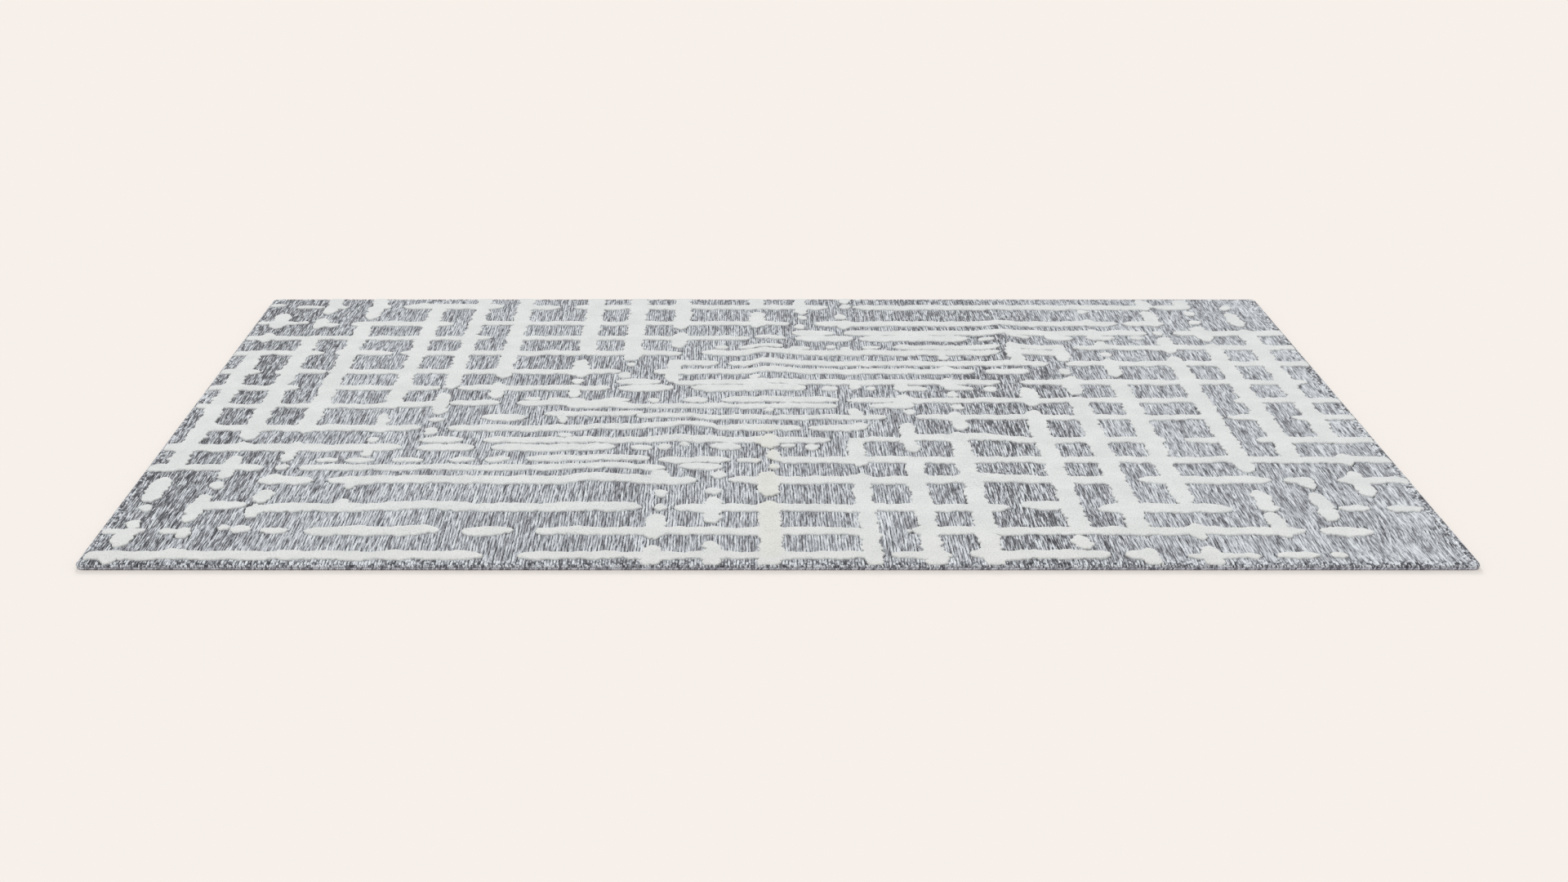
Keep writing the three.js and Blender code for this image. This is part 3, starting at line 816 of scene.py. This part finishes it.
def ground_rows(field, grid_x, grid_y):
    """Rows of loops over the low ground, broken wherever the ivory pile stands."""
    random = np.random.default_rng(5)
    inner = LENGTH - 2 * PILE_INSET - 2 * ROW_HALF_WIDTH
    rows = int(inner / ROW_PITCH) + 1
    row_x = (np.arange(rows) - (rows - 1) / 2) * (inner / (rows - 1))
    steps = int((WIDTH - 2 * PILE_INSET) / LOOP_STEP)
    line_y = (np.arange(steps) - (steps - 1) / 2) * LOOP_STEP
    x = row_x[:, None] + row_wander(row_x[:, None], line_y[None, :])
    for reach, amount in ROW_SHAKES:
        x += smooth_noise(random, rows, steps, reach, amount)
    y = np.repeat(line_y[None, :], rows, 0)
    edge = edge_distance(x, y) - PILE_INSET
    clear = -sample(field, grid_x, grid_y, x, y)
    free = np.minimum(clear, edge - ROW_BREAK * ROW_HALF_WIDTH)

    # A row that runs along an ivory edge is pushed off it.
    slope = (sample(field, grid_x, grid_y, x + NUDGE, y)
             - sample(field, grid_x, grid_y, x - NUDGE, y)) / (2 * NUDGE)
    x = x - np.clip(slope, -1, 1) * np.clip(ROW_HALF_WIDTH - clear, 0, MOST_PUSH)

    tone = row_tones(random, rows, steps)
    # Near the edge each loop's tone is thrown widely: partly yarn tone, and partly painted shade
    # of the deep gaps between the last tufts and the overcast yarn.
    open_edge = np.clip(1 - edge / EDGE_FLECK_REACH, 0, 1)
    tone += open_edge * random.normal(*EDGE_FLECK, tone.shape)
    girth = np.where((np.arange(steps) + np.arange(rows)[:, None]) % 2, 1.0, NECK)
    girth = girth + random.normal(0, GIRTH_SPREAD, girth.shape)
    section = yarn_section("row_section", ROW_SECTION)
    for number, members in enumerate(np.array_split(np.arange(rows), ROW_PIECES), 1):
        points, edges, girths, tones, places = [], [], [], [], []
        for row in members:
            for run in free_runs(free[row]):
                edges += chain(len(run), len(points))
                line, thick = run_line(x[row], y[row], girth[row], free[row], run)
                points += line.tolist()
                girths += thick.tolist()
                tones += tone[row, run].tolist()
                places += [row - members[0]] * len(run)
        broken = broken_yarn(np.array(points)[:, 0])
        piece = new_mesh(f"grey_loop_rows_{number}", points, edges=edges, girth=girths,
                         tone=tones, row=places, broken=broken)
        yarn_lines.run(piece, Section=section, Half_width=ROW_HALF_WIDTH,
                       Half_height=ROW_HALF_HEIGHT, Material=grey_yarn)
        unwrap_rows(piece.data, len(members))
        finish_piece(piece, "grey_pile", "ground_pile")
    bpy.data.objects.remove(section)


def unwrap_rows(mesh, rows):
    """Lays the rows out straight in the map, with the sides of each next to each other."""
    corners = np.zeros(len(mesh.loops), np.int32)
    mesh.loops.foreach_get("vertex_index", corners)
    starts = np.zeros(len(mesh.polygons), np.int32)
    mesh.polygons.foreach_get("loop_start", starts)

    def on_points(name, kind):
        values = np.zeros(len(mesh.vertices), kind)
        mesh.attributes[name].data.foreach_get("value", values)
        return values[corners]

    place = np.zeros(len(mesh.vertices) * 3, np.float32)
    mesh.vertices.foreach_get("co", place)
    side = on_points("side", np.int32).astype(float)
    row = on_points("row", np.float32)
    face = np.repeat(np.arange(len(starts)), np.diff(np.append(starts, len(corners))))
    most = np.maximum.reduceat(side, starts)[face]
    least = np.minimum.reduceat(side, starts)[face]
    closing = (most - least > 1) & (side == 0)
    side[closing] = len(ROW_SECTION)
    u = place.reshape(-1, 3)[corners, 1] / WIDTH + 0.5
    v = (row + (side + 0.5) / (len(ROW_SECTION) + 1)) / rows
    layer = mesh.uv_layers.new(name="OFBake")
    layer.data.foreach_set("uv", np.column_stack([u, v]).astype(np.float32).ravel())


# ---------------------------------------------------------------- ivory pile

# The corners and edge crossings of a cell that a filled patch uses, for each of the sixteen
# ways that its four corners can be inside. 0 to 3 are the corners from the front left,
# anticlockwise, and 4 to 7 are the crossings on the edges that follow them.
CELL_PATCHES = {
    1: [(0, 4, 7)], 2: [(4, 1, 5)], 3: [(0, 1, 5, 7)], 4: [(5, 2, 6)],
    5: [(0, 4, 7), (5, 2, 6)], 6: [(4, 1, 2, 6)], 7: [(0, 1, 2, 6, 7)], 8: [(7, 6, 3)],
    9: [(0, 4, 6, 3)], 10: [(4, 1, 5), (7, 6, 3)], 11: [(0, 1, 5, 6, 3)], 12: [(7, 5, 2, 3)],
    13: [(0, 4, 5, 2, 3)], 14: [(4, 1, 2, 3, 7)], 15: [(0, 1, 2, 3)],
}


def filled_outline(field, grid_x, grid_y, level):
    """Triangles over the part of the grid above the level, and its rim, inside on the left."""
    rows, columns = field.shape
    value = field - level
    inside = value > 0
    node = np.arange(rows * columns).reshape(rows, columns)
    x, y = np.meshgrid(grid_x, grid_y)
    share_x = np.clip(value[:, :-1] / (value[:, :-1] - value[:, 1:] + 1e-12), 0.02, 0.98)
    share_y = np.clip(value[:-1] / (value[:-1] - value[1:] + 1e-12), 0.02, 0.98)
    step_x, step_y = grid_x[1] - grid_x[0], grid_y[1] - grid_y[0]
    cross_x = np.column_stack([(x[:, :-1] + share_x * step_x).ravel(), y[:, :-1].ravel()])
    cross_y = np.column_stack([x[:-1].ravel(), (y[:-1] + share_y * step_y).ravel()])
    points = np.concatenate([np.column_stack([x.ravel(), y.ravel()]), cross_x, cross_y])
    on_x = rows * columns + np.arange(rows * (columns - 1)).reshape(rows, columns - 1)
    on_y = on_x.size + rows * columns + np.arange((rows - 1) * columns).reshape(-1, columns)
    local = [node[:-1, :-1], node[:-1, 1:], node[1:, 1:], node[1:, :-1],
             on_x[:-1], on_y[:, 1:], on_x[1:], on_y[:, :-1]]
    case = (inside[:-1, :-1] * 1 + inside[:-1, 1:] * 2 + inside[1:, 1:] * 4
            + inside[1:, :-1] * 8)
    triangles, rim = [], []
    for number, patches in CELL_PATCHES.items():
        cells = case == number
        for patch in patches:
            ids = [local[k][cells] for k in patch]
            for k in range(1, len(patch) - 1):
                triangles.append(np.column_stack([ids[0], ids[k], ids[k + 1]]))
            for k, start in enumerate(patch):
                following = (k + 1) % len(patch)
                if start > 3 and patch[following] > 3:
                    rim.append(np.column_stack([ids[k], ids[following]]))
    triangles, rim = np.concatenate(triangles), np.concatenate(rim)
    used, triangles = np.unique(triangles, return_inverse=True)
    number_of = np.full(len(points), -1)
    number_of[used] = np.arange(len(used))
    return points[used], triangles.reshape(-1, 3), number_of[rim]


def separate_patches(count, triangles):
    """Numbers the separate patches of a triangle mesh: for each point, its lowest relative."""
    label = np.arange(count)
    while True:
        least = label[triangles].min(1)
        spread = label.copy()
        for corner in range(3):
            np.minimum.at(spread, triangles[:, corner], least)
        spread = spread[spread]
        if (spread == label).all():
            return label
        label = spread


def cream_amount(x, y):
    """How warm the ivory wool is at a plan point, from 0 to 1."""
    warm = CREAM_FRONT * np.clip(1 - (y - FRONT_LEFT[1]) / CREAM_FRONT_REACH, 0, 1)
    for centre, start, end in CREAM_BARS:
        across = (x - FRONT_LEFT[0] - centre * MM) / CREAM_HALF_WIDTH
        middle, half = FRONT_LEFT[1] + (start + end) / 2 * MM, (end - start) / 2 * MM
        along = np.clip((half - np.abs(y - middle)) / CREAM_FADE, 0, 1)
        warm = np.maximum(warm, along * np.exp(-(across**4)))
    return warm


def ivory_groups(flat, label):
    """Each ivory piece's name, its share of the points, and the CAD nodes it stands for.

    The two largest patches are the joined grids. The loose strokes are shared by side.
    """
    patches, sizes = np.unique(label, return_counts=True)
    grids = patches[np.argsort(-sizes)[:2]]
    left, right = sorted(grids, key=lambda patch: flat[label == patch, 0].mean())
    middle_x = np.bincount(label, flat[:, 0]) / np.maximum(np.bincount(label), 1)
    loose, on_left = ~np.isin(label, grids), middle_x[label] < 0
    strokes = {"left": [], "right": []}
    for node in sorted(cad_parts):
        if node.startswith("motif_stroke"):
            low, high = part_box(node)
            strokes["left" if low.x + high.x < 0 else "right"].append(node)
    return [
        ("ivory_grid_left", label == left, ["motif_grid_left"]),
        ("ivory_grid_right", label == right, ["motif_grid_right"]),
        ("ivory_strokes_left", loose & on_left, strokes["left"]),
        ("ivory_strokes_right", loose & ~on_left, strokes["right"]),
    ]


def closed_pile(random, flat, triangles, rim, edge, out):
    """Points and faces of pile over flat triangles, closed below. Its rim's edge points
    are rounded off along the directions out."""
    count, ring_size = len(flat), len(edge)
    foot = IVORY_TOP - BED_TOP + IVORY_FOOT
    # Each ring of the rim: how far out from the flat top it lies, and how far down.
    rings = [(1.0 * MM, 0.3 * MM), (RIM_RADIUS, 1.3 * MM), (RIM_RADIUS + 0.3 * MM, foot)]
    top = IVORY_TOP + random.normal(0, TIP_UNEVEN, count)
    top[edge] -= RIM_SINK
    layers = [np.column_stack([flat, top])]
    for reach, drop in rings:
        push = reach + random.normal(0, RIM_RAGGED, (ring_size, 1))
        down = IVORY_TOP - drop + random.normal(0, RIM_UNEVEN, ring_size) * (drop < foot)
        layers.append(np.column_stack([flat[edge] + out * push, down]))
    layers.append(np.column_stack([flat, np.full(count, IVORY_TOP - foot)]))
    points = np.concatenate(layers)
    points[:, 2] += wave(points[:, 0], points[:, 1]) - roll(points[:, 0], points[:, 1])

    place = np.full(count, -1)
    place[edge] = np.arange(ring_size)
    under = count + len(rings) * ring_size
    starts = [count + ring * ring_size for ring in range(len(rings))]
    levels = [rim, *(start + place[rim] for start in starts), under + rim]
    faces = [triangles, triangles[:, ::-1] + under]
    for upper, lower in zip(levels, levels[1:]):
        faces.append(np.column_stack([upper[:, 1], upper[:, 0], lower[:, 0]]))
        faces.append(np.column_stack([upper[:, 1], lower[:, 0], lower[:, 1]]))
    return points, np.concatenate(faces)


def ivory_pile(field, grid_x, grid_y):
    """The raised pile: flat patches with rounded, slightly ragged edges, closed below."""
    random = np.random.default_rng(23)
    flat, triangles, rim = filled_outline(field, grid_x, grid_y, RIM_RADIUS)
    slope_y, slope_x = np.gradient(field, grid_y, grid_x)
    rim_points = np.unique(rim)
    at = flat[rim_points]
    out = -np.column_stack([sample(slope_x, grid_x, grid_y, *at.T),
                            sample(slope_y, grid_x, grid_y, *at.T)])
    out /= np.linalg.norm(out, axis=1, keepdims=True) + 1e-9
    label = separate_patches(len(flat), triangles)
    for name, mine, nodes in ivory_groups(flat, label):
        number_of = np.cumsum(mine) - 1
        my_faces = number_of[triangles[mine[triangles[:, 0]]]]
        my_rim = number_of[rim[mine[rim[:, 0]]]]
        on_rim = mine[rim_points]
        my_edge = number_of[rim_points[on_rim]]
        points, faces = closed_pile(random, flat[mine], my_faces, my_rim, my_edge, out[on_rim])
        cream = cream_amount(points[:, 0], points[:, 1])
        piece = new_mesh(name, points, faces, cream=cream)
        piece.data.materials.append(ivory)
        finish_piece(piece, "ivory_pile", *nodes)


# ---------------------------------------------------------------- flat layers


def grid_lines(half, spans, fine, coarse, marks=()):
    """Places from -half to half, closer together inside the spans, with a line at each mark."""
    lines = {-half, half}
    place = -half
    while place < half:
        near = any(low <= place <= high for low, high in spans)
        place += fine if near else coarse
        lines.add(min(place, half))
    kept = [line for line in lines if all(abs(line - mark) > 0.3 * MM for mark in marks)]
    return np.array(sorted(set(kept) | {mark for mark in marks if abs(mark) <= half}))


def round_corners(x, y, inset):
    """Pulls plan points that lie outside the rounded outline back onto it."""
    radius = max(CORNER_RADIUS - inset, 2 * MM)
    centre_x, centre_y = LENGTH / 2 - inset - radius, WIDTH / 2 - inset - radius
    over_x, over_y = np.abs(x) - centre_x, np.abs(y) - centre_y
    far = np.hypot(over_x, over_y)
    pull = np.where((over_x > 0) & (over_y > 0) & (far > radius), radius / far, 1.0)
    over_x, over_y = over_x * pull, over_y * pull
    moved = pull < 1
    new_x = np.where(moved, np.sign(x) * (centre_x + over_x), x)
    new_y = np.where(moved, np.sign(y) * (centre_y + over_y), y)
    return new_x, new_y


def wave_span(start, middle, before, after):
    """From where to where a wave is high enough to need closer lines, along one axis."""
    return start + np.array([middle - 3 * before, middle + 3 * after]) * MM


def flat_layer(name, inset, under, over, finish, marks=()):
    """A closed sheet with its edge at the inset, between two heights that may step with
    the distance from the rug's edge. It follows the waves."""
    wavy_x = [wave_span(FRONT_LEFT[0], x, left, right) for x, _, _, left, right, _ in WAVES]
    wavy_y = [wave_span(FRONT_LEFT[1], y, reach, reach) for _, y, _, _, _, reach in WAVES]
    half_x, half_y = LENGTH / 2 - inset, WIDTH / 2 - inset
    marks_x = [side * (LENGTH / 2 - mark) for mark in marks for side in (-1, 1)]
    marks_y = [side * (WIDTH / 2 - mark) for mark in marks for side in (-1, 1)]
    lines_x = grid_lines(half_x, wavy_x, FINE_X, COARSE, marks_x)
    lines_y = grid_lines(half_y, wavy_y, FINE_Y, COARSE, marks_y)
    x, y = np.meshgrid(lines_x, lines_y)
    depth = np.minimum(LENGTH / 2 - np.abs(x), WIDTH / 2 - np.abs(y))
    x, y = round_corners(x, y, inset)
    lift = wave(x, y)
    sheets = [np.dstack([x, y, height(depth) + lift]).reshape(-1, 3) for height in (over, under)]
    rows, columns = x.shape
    top = np.arange(rows * columns).reshape(rows, columns)
    quads = np.stack([top[:-1, :-1], top[:-1, 1:], top[1:, 1:], top[1:, :-1]], -1).reshape(-1, 4)
    border = np.concatenate([top[0, :-1], top[:-1, -1], top[-1, :0:-1], top[:0:-1, 0]])
    following = np.roll(border, -1)
    below = rows * columns
    sides = np.column_stack([following, border, border + below, following + below])
    faces = np.concatenate([quads, quads[:, ::-1] + below, sides])
    piece = new_mesh(name, np.concatenate(sheets), faces)
    piece.data.materials.append(finish)
    return piece


def level(height):
    """A height that is the same all over."""
    return lambda depth: np.full_like(depth, height)


def over_tape(height, step_at):
    """A height that steps up by the tape's thickness nearer the edge than step_at."""
    return lambda depth: height + np.where(depth < step_at, TAPE_TOP, 0.0)


def flat_layers():
    """The cloths and latex coats, from the pile's packed feet down to the backing."""
    field_inset = YARN_REACH + 0.3 * MM
    # The bed under the rows is coloured near black as painted shade for the gaps between them.
    bed = flat_layer("grey_loop_feet", field_inset, level(PRIMARY_TOP), level(BED_TOP), feet_painted_shade)
    tone = bed.data.attributes.new("tone", "FLOAT", "POINT")
    tone.data.foreach_set("value", np.full(len(bed.data.vertices), 0.5, np.float32))
    finish_piece(bed, "grey_pile", "ground_pile", smooth=False)

    step_under = TAPE_INNER + 0.4 * MM
    step_over = TAPE_INNER + BACKING
    marks = (TAPE_INNER, TAPE_INNER + 0.6 * MM, TAPE_INNER + 1.2 * MM)
    backing_over = over_tape(BACKING, step_over)
    layers = [
        ("tufting_cloth", level(LATEX_TOP), level(PRIMARY_TOP), tufting_weave,
         "primary_cloth", "primary_cloth", ()),
        ("locking_latex", level(SCRIM_TOP), level(LATEX_TOP), latex_skin,
         "latex", "latex_coat", ()),
        ("leno_scrim", level(BOND_TOP), level(SCRIM_TOP), net_weave, "scrim", "scrim", ()),
        ("bond_latex", backing_over, level(BOND_TOP), latex_skin,
         "latex", "bonding_latex", marks),
        ("canvas_backing", over_tape(0.0, step_under), backing_over, canvas_weave,
         "backing_cloth", "backing_cloth", marks),
    ]
    for name, under, over, finish, slot, node, steps in layers:
        piece = flat_layer(name, CLOTH_INSET, under, over, finish, steps)
        finish_piece(piece, slot, node, smooth=False)


# ---------------------------------------------------------------- edges


def outline_path(inset, height, spacing):
    """The rug's rounded outline drawn in by the inset, anticlockwise from the front left,
    as one list of points for each side. A side ends halfway round its corners."""
    radius = max(CORNER_RADIUS - inset, 1 * MM)
    half_x, half_y = LENGTH / 2 - inset - radius, WIDTH / 2 - inset - radius
    turns = {"front": -90, "right": 0, "back": 90, "left": 180}
    sides = {}
    for name, facing in turns.items():
        half = half_x if name in ("front", "back") else half_y
        away = half_y if name in ("front", "back") else half_x
        run = np.linspace(-half, half, int(2 * half / spacing) + 1)
        straight = np.column_stack([run, np.full(len(run), -(away + radius))])
        angles = np.radians(np.linspace(0, 45, 5))[1:]
        arc = radius * np.column_stack([np.sin(angles), 1 - np.cos(angles)])
        after = arc + [half, -(away + radius)]
        before = (arc * [-1, 1] + [-half, -(away + radius)])[::-1]
        path = np.concatenate([before, straight, after])
        turn = math.radians(facing + 90)
        spin = np.array([[math.cos(turn), math.sin(turn)], [-math.sin(turn), math.cos(turn)]])
        sides[name] = np.column_stack([path @ spin, np.full(len(path), height)])
    return sides


def wrap_line():
    """One wrap of overcast yarn, from the pile's foot over the edge and under the rug.

    X runs along the edge, and Y runs in from the rug's outermost line.
    """
    lean = 4.4 * MM
    top, under, wall = YARN_TOP - 0.9 * MM, 0.42 * MM, 0.75 * MM
    inner = YARN_REACH - 0.6 * MM
    bulge = 2.6 * MM
    places = [(inner, top - 0.2 * MM), (6 * MM, top + 0.15 * MM), (3.2 * MM, top)]
    for angle in np.radians((35, 65, 95, 130)):
        across = wall + bulge * (1 - math.sin(angle))
        places.append((across, 3.0 * MM + 2.0 * MM * math.cos(angle)))
    places += [(1.9 * MM, under + 0.15 * MM), (4 * MM, under), (inner, under)]
    steps = np.linspace(0.5, -0.5, len(places))
    points = [(lean * step, y, z) for step, (y, z) in zip(steps, places)]
    girths = [0.8, 1.05, 1.05, 1.0, 1.0, 1.0, 0.9, 0.62, 0.55, 0.5]
    return new_mesh("wrap_line", points, edges=chain(len(points)), girth=girths)


def edge_tuft_line():
    """One loop of the outermost pile, which leans out over the overcast yarn."""
    places = [(5.0 * MM, 7.0 * MM), (2.6 * MM, 8.1 * MM), (0.4 * MM, 7.4 * MM),
              (-0.5 * MM, 5.9 * MM), (0.9 * MM, 4.9 * MM)]
    points = [(0, y, z) for y, z in places]
    girths = [0.7, 1.0, 1.05, 0.95, 0.6]
    return new_mesh("edge_tuft_line", points, edges=chain(len(points)), girth=girths)


def overcast_edges():
    """Yarn overcast round the whole edge, and the pile's last tufts, piece by side."""
    wrap, tuft = wrap_line(), edge_tuft_line()
    for number, (side, path) in enumerate(outline_path(0.0, 0.0, EDGE_SPACING).items()):
        edges = chain(len(path))
        piece = new_mesh(f"overcast_yarn_{side}", path, edges=edges)
        edge_wraps.run(piece, Wrap=wrap, Pitch=WRAP_PITCH, Half_width=1.75 * MM,
                       Half_height=0.85 * MM, Slack=0.09, Seed=number, Material=edge_yarn)
        finish_piece(piece, "overcast_yarn", f"serging_{side}")
        # The last tufts take random tones over the whole grey ramp; their darkest flecks are
        # partly painted shade of the deep gaps at the pile's edge.
        fringe = new_mesh(f"grey_edge_tufts_{side}", path, edges=edges)
        edge_wraps.run(fringe, Wrap=tuft, Pitch=TUFT_PITCH, Half_width=1.25 * MM,
                       Half_height=1.15 * MM, Slack=0.55, Seed=number + 40, Material=grey_yarn)
        finish_piece(fringe, "grey_pile", "ground_pile")
    bpy.data.objects.remove(wrap)
    bpy.data.objects.remove(tuft)


def edge_ropes():
    """The cord inside the overcast yarn, one length for each side."""
    middle = (CORD_LOW + CORD_HIGH) / 2
    radius = (CORD_HIGH.z - CORD_LOW.z) / 2
    inset = middle.y - cad_low.y
    turns = np.radians(np.arange(0, 360, 45))
    section = yarn_section("rope_section", list(zip(np.cos(turns), np.sin(turns))))
    for side, path in outline_path(inset, middle.z, EDGE_SPACING).items():
        piece = new_mesh(f"edge_rope_{side}", path, edges=chain(len(path)),
                         girth=np.ones(len(path)))
        yarn_lines.run(piece, Section=section, Half_width=radius * 0.95, Half_height=radius,
                       Material=rope_cotton)
        finish_piece(piece, "edge_cord", f"edge_cord_{side}")
    bpy.data.objects.remove(section)


def hem_tapes():
    """Four twill tapes under the backing's border, each sewn down along both edges."""
    for side in ("front", "back", "left", "right"):
        low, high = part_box(f"hem_tape_{side}")
        low.z = TAPE_FOOT
        piece = tape_strip(f"twill_tape_{side}", low, high)
        finish_piece(piece, "hem_tape", f"hem_tape_{side}", smooth=False)
        x0, x1 = low.x + SEAM_INSET, high.x - SEAM_INSET
        y0, y1 = low.y + SEAM_INSET, high.y - SEAM_INSET
        if high.x - low.x > high.y - low.y:
            ends = [(x0, y0), (x1, y0), (x0, y1), (x1, y1)]
        else:
            ends = [(x0, y0), (x0, y1), (x1, y0), (x1, y1)]
        seam = new_mesh(f"hem_stitches_{side}", [(x, y, SEAM_HEIGHT) for x, y in ends],
                        edges=[(0, 1), (2, 3)])
        sewn_lines.run(seam, Pitch=STITCH_PITCH, Stitch_length=5 * MM, Thread=0.3 * MM,
                       Material=rope_cotton)
        finish_piece(seam, "hem_tape")


def tape_strip(name, low, high):
    """A closed tape with softly rounded long edges."""
    size = high - low
    long_x = size.x > size.y
    run, width = (size.x, size.y) if long_x else (size.y, size.x)
    chamfer = 0.25 * MM
    section = [(0, chamfer), (chamfer, 0), (width - chamfer, 0), (width, chamfer),
               (width, size.z - chamfer), (width - chamfer, size.z), (chamfer, size.z),
               (0, size.z - chamfer)]
    steps = int(run / TAPE_STEP)
    points = [(s, v, z) for s in np.linspace(0, run, steps + 1) for v, z in section]
    if not long_x:
        points = [(width - v, s, z) for s, v, z in points]
    sides = len(section)
    faces = []
    for k in range(steps):
        for m in range(sides):
            a, b = k * sides + m, k * sides + (m + 1) % sides
            faces.append((b, b + sides, a + sides, a))
    faces.append(tuple(reversed(range(sides))))
    faces.append(tuple(range(steps * sides, (steps + 1) * sides)))
    piece = new_mesh(name, np.array(points) + [low.x, low.y, low.z], faces)
    piece.data.materials.append(tape_twill)
    return piece


# ---------------------------------------------------------------- stage


def stage():
    """A pale floor under even, soft light, and the camera low in front of the rug."""
    scene = bpy.context.scene
    scene.view_settings.view_transform = "Standard"
    corners = [(-1, -1), (1, -1), (1, 1), (-1, 1)]
    points = [(x * FLOOR_HALF, y * FLOOR_HALF, -FLOOR_DROP) for x, y in corners]
    floor = new_mesh("floor", points, [(0, 1, 2, 3)])
    paint = bpy.data.materials.new("pale_floor")
    paint.use_nodes = True
    shader = paint.node_tree.nodes["Principled BSDF"]
    shader.inputs["Base Color"].default_value = (*FLOOR_COLOR, 1)
    shader.inputs["Roughness"].default_value = 1.0
    shader.inputs["Specular IOR Level"].default_value = 0.0
    floor.data.materials.append(paint)

    world = bpy.data.worlds.new("studio")
    world.use_nodes = True
    sky = world.node_tree.nodes["Background"]
    sky.inputs["Color"].default_value = (1, 1, 1, 1)
    sky.inputs["Strength"].default_value = SKY_STRENGTH
    scene.world = world

    for name, strength, size, direction in LAMPS:
        light = bpy.data.lights.new(name, "SUN")
        light.energy = strength
        light.angle = math.radians(size)
        lamp = bpy.data.objects.new(name, light)
        lamp.rotation_euler = Vector(direction).to_track_quat("Z", "Y").to_euler()
        scene.collection.objects.link(lamp)

    lens = bpy.data.cameras.new("camera")
    lens.lens = LENS_LENGTH
    lens.shift_x = LENS_SHIFT
    camera = bpy.data.objects.new("camera", lens)
    camera.location = CAMERA_PLACE
    camera.rotation_euler = (math.radians(90 - CAMERA_DOWN), 0, 0)
    scene.collection.objects.link(camera)
    scene.camera = camera


stage()
plan_x = np.linspace(-LENGTH / 2, LENGTH / 2, round(LENGTH / CELL) + 1)
plan_y = np.linspace(-WIDTH / 2, WIDTH / 2, round(WIDTH / CELL) + 1)
strokes = stroke_field(plan_x, plan_y)
ground_rows(strokes, plan_x, plan_y)
ivory_pile(strokes, plan_x, plan_y)
flat_layers()
overcast_edges()
edge_ropes()
hem_tapes()
